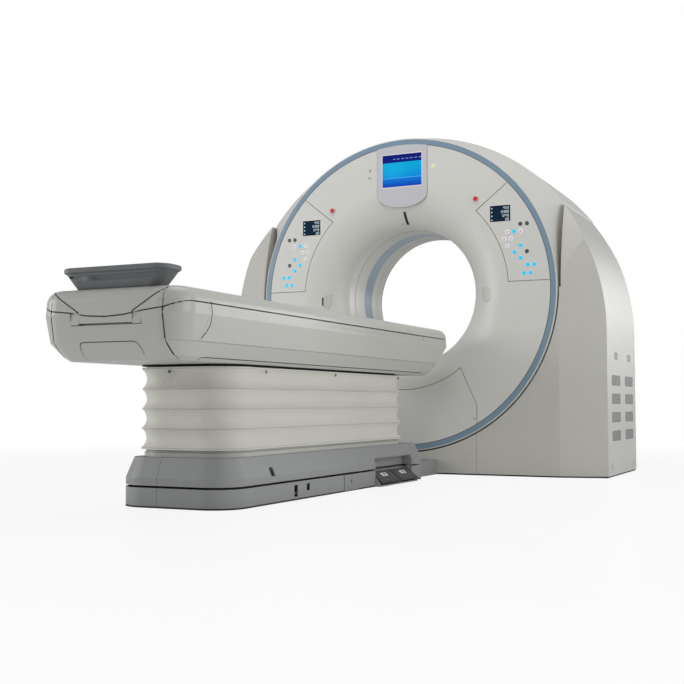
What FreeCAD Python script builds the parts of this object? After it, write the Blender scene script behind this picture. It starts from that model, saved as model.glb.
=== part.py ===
import FreeCAD, Part
import math
import os

# A computed-tomography scanner: a ring-shaped gantry that tilts between two
# floor stands, and a patient couch on a telescopic lift with a bellows cover.
#
# Millimetres. +Z is up and Z = 0 is the floor. The origin is on the floor,
# straight below the isocentre; the bore runs along Y, the couch lies on -Y,
# and +X is on the right of someone who faces the gantry from the couch.

V = FreeCAD.Vector

# ---------------------------------------------------------------- gantry sizes
ISO_Z = 1017.0              # height of the bore axis and of the tilt axis
FRONT_Y = -400.0            # plane of the front face and of its blue ring
REAR_Y = 550.0              # plane of the rear face
BORE_R = 390.0              # patient bore
BORE_Y = (-192.0, 208.0)    # straight stretch of the bore, front seam to rear end
WINDOW_Y = (-60.0, 52.0)    # band that the beam passes through
FLARE_R = 230.0             # radial reach of the front flare
FLARE_START_Y = -240.0      # where the front flare leaves the straight bore
REAR_LIP = 30.0             # rounding where the flare meets the rear face
RING_R = (857.0, 885.0)     # blue ring, inner and outer radius
RING_DEPTH = 14.0
COVER_T = 6.0               # wall of the moulded covers
SEAT = 0.3                  # clearance at a seat between two covers

ARCH_HALF = 1135.0          # half the gantry's width
ARCH_SPRING_Z = 790.0       # height where the straight sides turn into the arch
HOOD_RISE = 38.0            # how far the top stands above the blue ring
ARCH_RISE = ISO_Z + RING_R[1] + HOOD_RISE - ARCH_SPRING_Z  # rise of the half ellipse
SHOULDER_Y = -250.0         # where the drum's front shoulder reaches full size
DRUM_HALF = 900.0           # half the width of the tilting drum
DRUM_TAPER_Y = 300.0        # where the drum's underside starts to taper
DRUM_REAR_Y = 465.0         # rear edge of the drum's shell and of the stands
DRUM_REAR_DROP = 840.0      # depth of the drum's underside at that edge
REAR_R = 790.0              # circle of the rear face

STAND_GAP = 8.0             # running gap between the drum and each stand
STAND_FRONT_Y = -392.0      # flat front of the fixed covers
STAND_EDGE_Y = -323.0       # front edge of the stand's side face
STAND_BEND_X = 895.0        # where the front turns towards that edge
STAND_REAR_Y = 500.0        # flat rear of the fixed covers
STAND_T = 5.0
NOSE_R = 1400.0             # roll-back of the stand's upper front and rear
NOSE_Z = 950.0
RING_GAP = 8.0              # gap under the ring, to the fixed covers
REAR_HOLE = (892.0, 850.0)  # opening of the fixed covers at the rear, half width and half height
CENTRE_HALF = 430.0         # half the width of the removable centre covers
FLOOR_GAP = 8.0             # fixed covers stop this far above the floor
SPAN = 1400.0               # reaches past the gantry's side
FAR = 2000.0                # reaches past its top, front and rear
HOOD_SLITS = (              # slits on the drum's top: distance from the middle, Y from and to
    (300.0, (-120.0, 40.0)),
    (520.0, (-150.0, 250.0)),
    (640.0, (-100.0, 320.0)),
)

TRUNNION_R = 70.0
TRUNNION_END = 1012.0
POST_X = (930.0, 990.0)     # upright inside each stand
POST_TOP = 1190.0
POST_FOOT_HALF = 330.0
POST_HEAD_HALF = 150.0
BEARING_R = 120.0
BEARING_X = (922.0, 1000.0)
BEARING_CLEARANCE = 0.05

FRAME_Y = (-370.0, 480.0)   # floor frame, front to rear
FRAME_SIDE_Y = (-320.0, 430.0)
FRAME_BAR_X = 930.0
FRAME_X = 1100.0            # floor frame, half width
FRAME_H = 80.0
FRAME_SIDE = 200.0          # width of the side plates
LUG_X = 380.0               # lugs that hold the centre covers
ANCHOR_R = 11.0
ANCHOR_X = 1040.0
ANCHOR_Y = 250.0

VENT_SIZE = (232.0, 56.0)
VENT_Y = (-96.0, 268.0)
VENT_Z = 218.0
VENT_PITCH = 100.0
VENT_ROWS = 4
VENT_CORNER = 12.0
SLOT_SIZE = (96.0, 40.0)
SLOT_Z = 652.0

# ----------------------------------------------------------- front-face fittings
PANEL_FOOT_Z = 1057.0       # lower edge of each control panel
PANEL_HEAD = ((434.0, 1454.0), (616.0, 1600.0))
PANEL_INNER_R = 624.0
PANEL_T = 3.0
PANEL_GAP = 1.6
SERVICE_R = 545.0           # upper edge of the lower service cover
SERVICE_HALF = (345.0, 439.0)
SERVICE_Z = (590.0, 385.0)
SERVICE_GAP = 2.0
KEY_R = 12.0
KEY_T = 1.2
KEY_ROWS = (                # height of each row of keys, and its places along X
    (1369.0, (693.0, 730.0)),
    (1330.0, (620.0, 657.0, 694.0)),
    (1291.0, (602.0, 639.0)),
    (1251.0, (620.0, 693.0)),
    (1217.0, (659.0, 728.0)),
    (1183.0, (693.0,)),
    (1144.0, (732.0, 768.0)),
    (1098.0, (712.0, 747.0)),
)
READOUT_SIZE = (117.0, 90.0)
READOUT_AT = (580.0, 1434.0)
BEZEL_HALF = 155.0
BEZEL_SHOULDER_Z = 1592.0
BEZEL_DROP = 80.0
BEZEL_T = 2.0
SCREEN_HALF = 121.0
SCREEN_Z = (1634.0, 1821.0)
SCREEN_T = 3.0
STOP_AT = (441.0, 1526.0)
STOP_R = 9.5
STOP_PROUD = 14.0
COLLAR_R = 17.0
LAMP_AT = (189.0, 1734.0)
LAMP_R = 11.0
AIR_SLOT = (150.0, 10.0)    # half width and height of the rear air slots
AIR_SLOT_R = (650.0, 672.0, 694.0, 716.0)
BEAM_SLOT = (16.0, 66.0)
BEAM_SLOT_R = 443.0

# ------------------------------------------------------------ rotor and its drive
ROTOR_PLATE_Y = (150.0, 190.0)
ROTOR_R = (470.0, 815.0)
JOURNAL_T = 40.0            # wall of the bearing journal
RACE_T = (50.0, 60.0)       # thickness of the inner and of the outer race
RACE_R = ROTOR_R[0] + JOURNAL_T
MAIN_BEARING_R = (RACE_R, RACE_R + RACE_T[0], RACE_R + RACE_T[0] + RACE_T[1])
MAIN_BEARING_Y = (200.0, 290.0)
TILT_PLATE_Y = (240.0, 290.0)
TILT_PLATE_R = (MAIN_BEARING_R[2], 858.0)
ROTOR_RIM_T = 18.0
ROTOR_RIM_FRONT = -150.0
JOURNAL_END = 300.0
SLIP_RING_R = 600.0
SLIP_RING_T = 30.0
SLIP_GROOVES = 3
FLARE_CLEARANCE = 19.0      # from the rear flare to the slip ring
REAR_FLARE = ((ROTOR_R[0] - FLARE_CLEARANCE - COVER_T - BORE_R)  # slope of the rear flare
              / (JOURNAL_END + SLIP_RING_T - BORE_Y[1]))
MAGNET_R = (MAIN_BEARING_R[2] + 30.0, MAIN_BEARING_R[2] + 79.0)
STATOR_R = (MAGNET_R[1] + 1.0, MAGNET_R[1] + 61.0)
DRIVE_Y = (192.0, 236.0)
TUBE_R = 104.0
TUBE_AT = 665.0
TUBE_Y = (-175.0, 120.0)
FOCUS_R = 620.0             # focal spot, above the isocentre
DETECTOR_R = 1060.0         # focal spot to detector
DETECTOR_T = 62.0
DETECTOR_SPAN = 50.0        # fan angle in degrees
DETECTOR_Y = (-92.0, 150.0)
READOUT_BOX_T = 70.0
GENERATOR_R = (470.0, 730.0)
COOLER_R = (490.0, 740.0)
COOLER_FAN_R = 615.0
PLATE_WINDOW_R = 740.0      # circle of the round windows in the tilt frame's plate
ARM_X = 832.0               # inner face of the tilt frame's side arms
ROTOR_WINDOW_R = 590.0      # circle of the round windows in the rotor's plate

# ---------------------------------------------------------------- couch body
COUCH_HALF = 308.0
COUCH_SEAM_Z = 742.0
COUCH_TOP_Z = 793.0
COUCH_FOOT_Y = -3095.0      # foot end at the lid's seam
COUCH_HEAD_Y = -480.0       # gantry end at the lid's seam
COUCH_LEVELS = (            # height, inset at the sides, at the foot end and at the gantry end
    (542.0, 72.0, 72.0, 178.0),
    (557.0, 51.0, 51.0, 150.0),
    (606.0, 12.0, 12.0, 114.0),
    (700.0, 0.0, -5.0, -8.0),
    (738.0, 0.0, 0.0, 0.0),
)
COUCH_FOOT_R = 95.0         # plan radius of the foot-end corners
COUCH_HEAD_R = 60.0         # plan radius of the gantry-end corners
COUCH_T = 5.0
SEAM_GAP = 2.5
LID_ROUND = 49.0
CHANNEL_HALF = 241.0        # channel in the lid that the tabletop runs in
CHANNEL_FOOT_Y = -3052.0
FOOT_HALF = 236.0           # half the width of the foot-end cover
CORNER_SEAM = ((742.0, -2921.0), (693.0, -2911.0), (606.0, -2971.0))  # behind the corner covers: height, Y
LID_BOW = (                 # lid seam across the foot end: distance from the middle, height
    (308.0, 742.0),
    (236.0, 716.0),
    (151.0, 707.0),
    (75.0, 695.0),
    (0.0, 691.0),
)
LID_V = (251.0, 113.0)      # half widths of the V-shaped insert, top and bottom
LID_V_FOOT = 706.0
LID_TONGUE = 20.0           # depth of the open seam beside the insert
RECESS_HALF = 150.0         # recess in the foot end that holds the pull flap
RECESS_Z = 662.0
RECESS_DEPTH = 18.0
FLAP_HALF = 113.0
FLAP_Z = 669.0
TRAY_T = 4.0
SIDE_RECESS_Y = (-2062.0, -860.0)
SIDE_RECESS = (20.0, 3.0)   # height and depth
SIDE_GROOVE_Y = (-2965.0, -640.0)
SIDE_GROOVE = 2.0           # width of the seam along the crease
HATCH_HALF = 128.0

# ---------------------------------------------------------------- tabletop
TOP_HALF = 234.0
TOP_EDGE_Z = COUCH_TOP_Z - 2.0
TOP_SAG = 28.0
TOP_T = 20.0
TOP_Y = (-3030.0, -505.0)
TOP_FOOT_R = 20.0           # plan radius of the foot-end corners
TOP_NOSE_R = 90.0           # and of the gantry-end corners
GRIP_Z = (788.0, 849.0, 871.0)
GRIP_HALF = (170.0, 216.0)
GRIP_Y = (-3044.0, -2963.0)
GRIP_R = 30.0               # plan radius of its corners, at the foot
GRIP_FLARE = 22.0
GRIP_RIM = ((0.0, 1.0), (5.0, 8.0), (15.0, 9.0), (20.0, 6.0), (22.0, 1.0))  # height above the neck, reach
GRIP_T = 7.0
GRIP_OPENING = ((158.0, 823.0), (198.0, 841.0))  # half width and height, at the foot and at the top
CARRIAGE_Y = (-2950.0, -2050.0)
CARRIAGE_HALF = 150.0

# ---------------------------------------------------------------- couch frame and lift
DECK_Z = (536.0, 548.0)     # deck plate on top of the lift
DECK_HALF = 195.0
DECK_Y = (-2610.0, -985.0)
BEAM_X = (150.0, 200.0)
BEAM_Z = 700.0
BEAM_Y = (-3020.0, -620.0)
BRACKET_Y = (-2800.0, -2000.0, -1300.0, -700.0)
CROSS_Y = (-2900.0, -2300.0, -1600.0, -900.0)
TIE_Z = (640.0, 650.0)      # ties from the beams to the foot-end covers
RAIL_T = 22.0
RAIL_X = (112.0, 136.0)
TABLE_DRIVE_Y = (-1560.0, -1420.0)
COLUMN_Y = (-2150.0, -1400.0)
COLUMN_HALF = (96.0, 80.0)  # outer tube, half sizes in X and Y
COLUMN_WALL = 6.0
COLUMN_GAP = 0.5
COLUMN_BASE_Z = 25.0
COLUMN_OUTER_TOP = 275.0
COLUMN_MIDDLE_Z = (152.0, 405.0)
COLUMN_INNER_FOOT = 278.0

# ---------------------------------------------------------------- couch base
BASE_Y = (-2705.0, -760.0)  # foot end, gantry end
BASE_HALF = 258.0
BASE_FOOT_R = 125.0         # plan radius of the foot-end corners
BASE_HEAD_R = 30.0
BASE_BAND_Z = 75.0
BASE_GAP = 8.0
BASE_KNEE_Z = 111.0
BASE_TOP_Z = 188.0
BASE_TOP_INSET = 32.0
BASE_T = 6.0
PLATE_T = 25.0
PLATE_HALF = 225.0
PLATE_Y = (-2400.0, -800.0)
COUCH_ANCHOR_X = 170.0
COUCH_ANCHOR_Y = (-2290.0, -900.0)
SHROUD_POST_Y = (-2330.0, -1800.0, -1450.0, -840.0)
BAY_Y = (-1377.0, -905.0)   # pedal bay
BAY_X = 198.0
BAY_TOP = 134.0
PEDAL_OUT = 294.0
PEDAL_PIN = (222.0, 56.0)
PEDAL_PIN_R = 4.0
PEDAL_T = 7.0
PEDAL_DROP = 40.0
PEDAL_LIP = 6.5             # height of the bay's front lip
KEY_PLATE_Y = (-1720.0, -1571.0)
DUCT_HALF = 200.0
DUCT_TOP = 82.0
DUCT_T = 4.0
BAND_SLOTS = ((-2191.0, -2160.0, 14.0), (-2081.0, -2053.0, 33.0))  # cable slots: Y from and to, foot
BAND_SLOT_TOP = 61.5
SHROUD_SLOT = ((-2383.0, -2352.0), (109.0, 142.0))

# ---------------------------------------------------------------- bellows
BELLOWS_Z = (222.0, 526.0)
BELLOWS_HALF = 213.0        # half width in the valleys
BELLOWS_Y = (-2637.0, -965.0)
BELLOWS_R = (125.0, 40.0)
BELLOWS_FOLDS = 4
BELLOWS_FOLD = 19.0         # how far each fold stands out
BELLOWS_WALL = 4.0


# ---------------------------------------------------------------- helpers
def box(x, y, z):
    """A box from three (low, high) pairs."""
    return Part.makeBox(x[1] - x[0], y[1] - y[0], z[1] - z[0], V(x[0], y[0], z[0]))


def rod(radius, start, direction, length):
    """A cylinder from a start point."""
    return Part.makeCylinder(radius, length, V(*start), V(*direction))


def fuse(first, *others):
    """One shape from several that meet."""
    return first.multiFuse(list(others)).removeSplitter() if others else first


def mirrored(shape):
    """The same piece on the other side of the YZ plane."""
    return shape.mirror(V(0, 0, 0), V(1, 0, 0))


def both(shape):
    """One node of two like pieces, one on each side."""
    return Part.makeCompound([shape, mirrored(shape)])


def closed_face(edges):
    """A face inside a loop of edges given in any order."""
    return Part.Face(Part.Wire(Part.__sortEdges__(edges)))


def polygon(points):
    """A face inside straight lines through the points."""
    return Part.Face(Part.makePolygon([V(*p) for p in points] + [V(*points[0])]))


def ellipse_arc(centre, first, second, start, end):
    """Edge along centre + first*cos(a) + second*sin(a), for a from start to end in degrees."""
    low, high = math.radians(start), math.radians(end)
    if abs(first.Length - second.Length) < 1e-6:
        middle = (low + high) / 2
        ends = [centre + first * math.cos(t) + second * math.sin(t) for t in (low, middle, high)]
        return Part.Arc(*ends).toShape()
    if first.Length > second.Length:
        curve = Part.Ellipse(centre + first, centre + second, centre)
    else:
        curve = Part.Ellipse(centre + second, centre - first, centre)
        low, high = low - math.pi / 2, high - math.pi / 2
    return Part.ArcOfEllipse(curve, low, high).toShape()


def bore_ring(r_in, r_out, y):
    """A flat ring about the bore axis, between two planes."""
    outer = rod(r_out, (0, y[0], ISO_Z), (0, 1, 0), y[1] - y[0])
    return outer.cut(rod(r_in, (0, y[0] - 1, ISO_Z), (0, 1, 0), y[1] - y[0] + 2))


def bore_revolve(edges):
    """A profile of edges in the plane Z = ISO_Z, X > 0, turned about the bore axis."""
    return closed_face(edges).revolve(V(0, 0, ISO_Z), V(0, 1, 0), 360)


def bore_box(angle, r, half, y):
    """A box whose mid-plane looks along one radius; angle in degrees from +X towards +Z."""
    shape = box(r, y, (ISO_Z - half, ISO_Z + half))
    shape.rotate(V(0, 0, ISO_Z), V(0, 1, 0), -angle)
    return shape


def rounded_outline(z, x_half, y, corners):
    """A plan outline: a rectangle with one radius at the low-Y corners and one at the high-Y."""
    a, b = corners
    lo, hi = y
    turns = [(x_half - b, hi - b, b, 0), (b - x_half, hi - b, b, 90),
             (a - x_half, lo + a, a, 180), (x_half - a, lo + a, a, 270)]
    edges, ends = [], []
    for cx, cy, r, start in turns:
        edges.append(ellipse_arc(V(cx, cy, z), V(r, 0, 0), V(0, r, 0), start, start + 90))
        ends.append([V(cx + r * math.cos(math.radians(t)), cy + r * math.sin(math.radians(t)), z)
                     for t in (start, start + 90)])
    for i in range(4):
        edges.append(Part.makeLine(ends[i][1], ends[(i + 1) % 4][0]))
    return Part.Wire(Part.__sortEdges__(edges))


def base_outline(z, inset=0.0):
    """The couch base's plan outline, drawn in by an inset."""
    return rounded_outline(z, BASE_HALF - inset, (BASE_Y[0] + inset, BASE_Y[1] - inset),
                           (BASE_FOOT_R - inset, max(BASE_HEAD_R - inset, 8.0)))


def stack(wires):
    """A solid through plan outlines of one kind, straight from each to the next."""
    return Part.makeLoft(wires, True, True)


def prism(wire, height):
    """A plan outline raised by a height."""
    return Part.Face(wire).extrude(V(0, 0, height))


def save(name, shape):
    """Write one piece as its own STEP file."""
    if not shape.isValid():
        print("not valid:", name)
    shape.exportStep("parts/" + name + ".step")


# ---------------------------------------------------------------- gantry outlines
def arch_height(x, inset=0.0):
    """Height of the arch at a distance from the middle."""
    share = x / (ARCH_HALF - inset)
    return ARCH_SPRING_Z + (ARCH_RISE - inset) * math.sqrt(1 - share * share)


def arch_angle(x, inset=0.0):
    """Ellipse parameter of the arch at a distance from the middle, in degrees."""
    return math.degrees(math.acos(x / (ARCH_HALF - inset)))


def drum_section(y, inset, drop):
    """The drum's outline at one depth: arch on top, straight sides, half-ellipse underside."""
    w = DRUM_HALF - inset
    corner = arch_height(w, inset)
    turn = arch_angle(w, inset)
    return Part.Wire([
        Part.makeLine(V(w, y, ISO_Z), V(w, y, corner)),
        ellipse_arc(V(0, y, ARCH_SPRING_Z), V(ARCH_HALF - inset, 0, 0),
                    V(0, 0, ARCH_RISE - inset), turn, 180 - turn),
        Part.makeLine(V(-w, y, corner), V(-w, y, ISO_Z)),
        ellipse_arc(V(0, y, ISO_Z), V(w, 0, 0), V(0, 0, drop - inset), 180, 360),
    ])


def drum_circle(y, r, inset):
    """A circle about the bore axis, split at the same four corners as the drum's outline."""
    w = DRUM_HALF - inset
    turn = math.degrees(math.atan2(arch_height(w, inset) - ISO_Z, w))
    stops = [0, turn, 180 - turn, 180, 360]
    return Part.Wire([
        ellipse_arc(V(0, y, ISO_Z), V(r, 0, 0), V(0, 0, r), a, b)
        for a, b in zip(stops, stops[1:])
    ])


def drum_solid(inset, over=0.0):
    """The drum's closed form, drawn in by inset, its two flat ends moved out by over."""
    ring_seat = RING_R[1] + SEAT + COVER_T
    return Part.makeLoft([
        drum_circle(FRONT_Y + 2 - over, ring_seat - inset, inset),
        drum_section(SHOULDER_Y, inset, DRUM_HALF),
        drum_section(DRUM_TAPER_Y, inset, DRUM_HALF),
        drum_section(DRUM_REAR_Y, inset, DRUM_REAR_DROP),
        drum_circle(REAR_Y - 2 + over, REAR_R + SEAT + COVER_T - inset, inset),
    ], True, True)


def arch_prism(inset, y):
    """The whole gantry's arch as a bar along Y."""
    w, top = ARCH_HALF - inset, V(0, y[0], ARCH_SPRING_Z)
    edges = [
        ellipse_arc(top, V(w, 0, 0), V(0, 0, ARCH_RISE - inset), 0, 180),
        Part.makeLine(V(-w, y[0], ARCH_SPRING_Z), V(-w, y[0], -10)),
        Part.makeLine(V(-w, y[0], -10), V(w, y[0], -10)),
        Part.makeLine(V(w, y[0], -10), V(w, y[0], ARCH_SPRING_Z)),
    ]
    return closed_face(edges).extrude(V(0, y[1] - y[0], 0))


def stand_plan(inset, x_in):
    """The right stand's plan as a bar along Z: flat front, bend, side face, bend, flat rear."""
    slope = inset * 0.15
    points = [
        (x_in, STAND_FRONT_Y + inset, -10),
        (STAND_BEND_X - slope, STAND_FRONT_Y + inset, -10),
        (ARCH_HALF + 20, STAND_EDGE_Y + inset + (STAND_EDGE_Y - STAND_FRONT_Y) * 20 / 240, -10),
        (ARCH_HALF + 20, DRUM_REAR_Y - inset, -10),
        (ARCH_HALF, DRUM_REAR_Y - inset, -10),
        (STAND_BEND_X - slope, STAND_REAR_Y - inset, -10),
        (x_in, STAND_REAR_Y - inset, -10),
    ]
    return polygon(points).extrude(V(0, 0, FAR))


def nose_bar(inset, rear):
    """What the roll-back of the stand's upper front or rear leaves."""
    plane = STAND_REAR_Y - inset if rear else STAND_FRONT_Y + inset
    centre = plane - NOSE_R if rear else plane + NOSE_R
    y = (centre - FAR, plane + 1) if rear else (plane - 1, centre + FAR)
    low = box((0, SPAN), y, (-20, NOSE_Z))
    far = (centre - FAR, centre) if rear else (centre, centre + FAR)
    high = box((0, SPAN), far, (NOSE_Z - 1, FAR))
    return fuse(low, high, rod(NOSE_R, (0, centre, NOSE_Z), (1, 0, 0), SPAN))


# ---------------------------------------------------------------- tilting drum
def flare_profile(seam_y, start_y, face_y, reach, outer_r):
    """Edges of a moulded face: straight bore end, quarter-ellipse flare, flat face."""
    z, side = ISO_Z, (-1 if face_y < 0 else 1)
    depth = abs(face_y - start_y)
    centre = V(BORE_R + reach, start_y, z)
    back = face_y - side * COVER_T
    across, along = V(-reach, 0, 0), V(0, side * depth, 0)
    in_across, in_along = V(COVER_T - reach, 0, 0), V(0, side * (depth - COVER_T), 0)
    return [
        Part.makeLine(V(BORE_R, seam_y, z), V(BORE_R, start_y, z)),
        ellipse_arc(centre, across, along, 0, 90),
        Part.makeLine(V(BORE_R + reach, face_y, z), V(outer_r, face_y, z)),
        Part.makeLine(V(outer_r, face_y, z), V(outer_r, back, z)),
        Part.makeLine(V(outer_r, back, z), V(BORE_R + reach, back, z)),
        ellipse_arc(centre, in_across, in_along, 0, 90),
        Part.makeLine(V(BORE_R + COVER_T, start_y, z), V(BORE_R + COVER_T, seam_y, z)),
        Part.makeLine(V(BORE_R + COVER_T, seam_y, z), V(BORE_R, seam_y, z)),
    ]


def panel_outline(gap, y, depth):
    """The right control panel's shape, drawn in by a gap: two arcs about the bore, two lines."""
    ring = bore_ring(PANEL_INNER_R + gap, RING_R[0] - SEAT - gap, (y, y + depth))
    inner, outer = PANEL_HEAD
    length = math.hypot(outer[0] - inner[0], outer[1] - inner[1])
    ux, uz = (outer[0] - inner[0]) / length, (outer[1] - inner[1]) / length
    nx, nz = uz * gap, -ux * gap
    a = (inner[0] + nx - ux * 400, inner[1] + nz - uz * 400)
    b = (outer[0] + nx + ux * 600, outer[1] + nz + uz * 600)
    foot = PANEL_FOOT_Z + gap
    window = polygon([(a[0], y, a[1]), (b[0], y, b[1]), (b[0], y, foot), (a[0], y, foot)])
    return ring.common(window.extrude(V(0, depth, 0)))


def bezel_shape(grow, y, depth):
    """Screen surround: straight sides up to the ring, half-ellipse lower edge."""
    w = BEZEL_HALF + grow
    z = BEZEL_SHOULDER_Z
    edges = [
        ellipse_arc(V(0, y, z), V(w, 0, 0), V(0, 0, BEZEL_DROP + grow), 180, 360),
        Part.makeLine(V(w, y, z), V(w, y, ISO_Z + RING_R[0])),
        Part.makeLine(V(w, y, ISO_Z + RING_R[0]), V(-w, y, ISO_Z + RING_R[0])),
        Part.makeLine(V(-w, y, ISO_Z + RING_R[0]), V(-w, y, z)),
    ]
    plate = closed_face(edges).extrude(V(0, depth, 0))
    return plate.common(rod(RING_R[0] - SEAT, (0, y - 1, ISO_Z), (0, 1, 0), depth + 2))


def beam_slots(shrink):
    """Three slots in the flare for the positioning lights: one on top, one on each side."""
    w, h = BEAM_SLOT[0] / 2 - shrink, BEAM_SLOT[1] / 2 - shrink
    y = (FRONT_Y - 20, FLARE_START_Y + 40)
    top = box((-w, w), y, (ISO_Z + BEAM_SLOT_R - h, ISO_Z + BEAM_SLOT_R + h))
    sides = [box((s * BEAM_SLOT_R * 1.06 - w, s * BEAM_SLOT_R * 1.06 + w), y,
                 (ISO_Z - h * 0.6, ISO_Z + h * 0.6)) for s in (-1, 1)]
    return [top] + sides


def front_face_blank():
    """The front cover before its openings are cut."""
    return bore_revolve(flare_profile(BORE_Y[0], FLARE_START_Y, FRONT_Y, FLARE_R,
                                      RING_R[0] - SEAT))


def stop_hole(side, radius, y, depth):
    """A round bar at one emergency stop."""
    return rod(radius, (side * STOP_AT[0], y, STOP_AT[1]), (0, 1, 0), depth)


def make_front_cover():
    cover = front_face_blank()
    tools = [panel_outline(0, FRONT_Y - 1, PANEL_T + 1)]
    tools.append(mirrored(tools[0]))
    tools.append(bezel_shape(0, FRONT_Y - 1, PANEL_T + 1))
    tools += [stop_hole(s, STOP_R + SEAT, FRONT_Y - 5, 40) for s in (-1, 1)]
    tools.append(rod(LAMP_R, (LAMP_AT[0], FRONT_Y - 5, LAMP_AT[1]), (0, 1, 0), 40))
    tools += beam_slots(0)
    tools.append(service_area(0))
    rings = [stop_hole(s, COLLAR_R, FRONT_Y - 3, 3.5) for s in (-1, 1)]
    return fuse(cover, *rings).cut(Part.makeCompound(tools))


def service_area(gap):
    """The removable lower part of the front cover, drawn in by a gap, as a bar along Y."""
    top, side = (w - gap for w in SERVICE_HALF)
    y, (z_top, z_side) = FRONT_Y - 5, SERVICE_Z
    outline = [(-side, 0), (side, 0), (side, z_side), (top, z_top), (-top, z_top), (-side, z_side)]
    bar = polygon([(x, y, height) for x, height in outline]).extrude(V(0, 220, 0))
    return bar.cut(rod(SERVICE_R + gap, (0, y - 1, ISO_Z), (0, 1, 0), 300))


def make_service_cover():
    return front_face_blank().common(service_area(SERVICE_GAP))


def make_rear_cover():
    """Rear face: a conical flare with a rounded lip, a flat face and two rows of air slots."""
    start, t, lip = BORE_Y[1] + SEAT, COVER_T, REAR_LIP
    back = REAR_Y - t
    mouth = BORE_R + (REAR_Y - lip - start) * REAR_FLARE
    z = ISO_Z
    centre = V(mouth + lip, REAR_Y - lip, z)
    edges = [
        Part.makeLine(V(BORE_R, start, z), V(mouth, REAR_Y - lip, z)),
        ellipse_arc(centre, V(-lip, 0, 0), V(0, lip, 0), 0, 90),
        Part.makeLine(V(mouth + lip, REAR_Y, z), V(REAR_R, REAR_Y, z)),
        Part.makeLine(V(REAR_R, REAR_Y, z), V(REAR_R, back, z)),
        Part.makeLine(V(REAR_R, back, z), V(mouth + lip, back, z)),
        ellipse_arc(centre, V(t - lip, 0, 0), V(0, lip - t, 0), 0, 90),
        Part.makeLine(V(mouth + t, REAR_Y - lip, z), V(BORE_R + t, start, z)),
        Part.makeLine(V(BORE_R + t, start, z), V(BORE_R, start, z)),
    ]
    half, high = AIR_SLOT
    slots = [box((-half, half), (REAR_Y - 20, REAR_Y + 5), (z + side * r, z + side * r + high))
             for side in (-1, 1) for r in AIR_SLOT_R]
    return bore_revolve(edges).cut(Part.makeCompound(slots))


def make_drum_shell():
    shell = drum_solid(0).cut(drum_solid(COVER_T, 1.0))
    holes = rod(TRUNNION_R + SEAT, (-DRUM_HALF - 5, 0, ISO_Z), (1, 0, 0), 2 * DRUM_HALF + 10)
    slits = []
    for side in (-1, 1):
        for x, y in HOOD_SLITS:
            z = arch_height(x)
            slits.append(box(sorted((side * (x - 4), side * (x + 4))), y, (z - 30, z + 30)))
    return shell.cut(Part.makeCompound([holes] + slits))


def make_ring_trim():
    return bore_ring(RING_R[0], RING_R[1], (FRONT_Y, FRONT_Y + RING_DEPTH))


def make_bore_liner():
    liner = bore_ring(BORE_R, BORE_R + COVER_T - 2, (BORE_Y[0] + SEAT, BORE_Y[1]))
    return liner.cut(bore_ring(BORE_R - 1, BORE_R + 2, WINDOW_Y))


def make_beam_band():
    return bore_ring(BORE_R, BORE_R + 2, WINDOW_Y)


def make_bezel():
    plate = bezel_shape(-PANEL_GAP, FRONT_Y - BEZEL_T, BEZEL_T + PANEL_T)
    hole = box((-SCREEN_HALF, SCREEN_HALF), (FRONT_Y - 10, FRONT_Y + PANEL_T - 2), SCREEN_Z)
    return plate.cut(hole)


def make_screen():
    half, z = SCREEN_HALF - SEAT, (SCREEN_Z[0] + SEAT, SCREEN_Z[1] - SEAT)
    back = FRONT_Y + PANEL_T - 2
    return box((-half, half), (back - SCREEN_T, back), z)


def make_control_panel():
    plate = panel_outline(PANEL_GAP, FRONT_Y, PANEL_T)
    w, h = READOUT_SIZE[0] / 2, READOUT_SIZE[1] / 2
    x, z = READOUT_AT
    return plate.cut(box((x - w, x + w), (FRONT_Y - 1, FRONT_Y + 2), (z - h, z + h)))


def make_readout():
    w, h = READOUT_SIZE[0] / 2 - SEAT, READOUT_SIZE[1] / 2 - SEAT
    x, z = READOUT_AT
    return box((x - w, x + w), (FRONT_Y, FRONT_Y + 2), (z - h, z + h))


def make_keys():
    """The right panel's keys, as flat pads."""
    return Part.makeCompound([
        rod(KEY_R, (x, FRONT_Y - KEY_T, z), (0, 1, 0), KEY_T) for z, row in KEY_ROWS for x in row
    ])


def make_stop_button(side):
    stem = stop_hole(side, STOP_R, FRONT_Y - STOP_PROUD + 6, STOP_PROUD + 14)
    head = stop_hole(side, STOP_R + 3, FRONT_Y - STOP_PROUD, 6)
    rim = [e for e in head.Edges if abs(e.CenterOfMass.y - (FRONT_Y - STOP_PROUD)) < 0.01]
    return fuse(head.makeChamfer(2, rim), stem)


def make_lamp_windows():
    """The status lamp and the three slot windows of the positioning lights."""
    lamp = rod(LAMP_R - SEAT, (LAMP_AT[0], FRONT_Y - 1.5, LAMP_AT[1]), (0, 1, 0), COVER_T)
    blank = front_face_blank()
    return Part.makeCompound([lamp] + [blank.common(slot) for slot in beam_slots(SEAT)])


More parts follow.
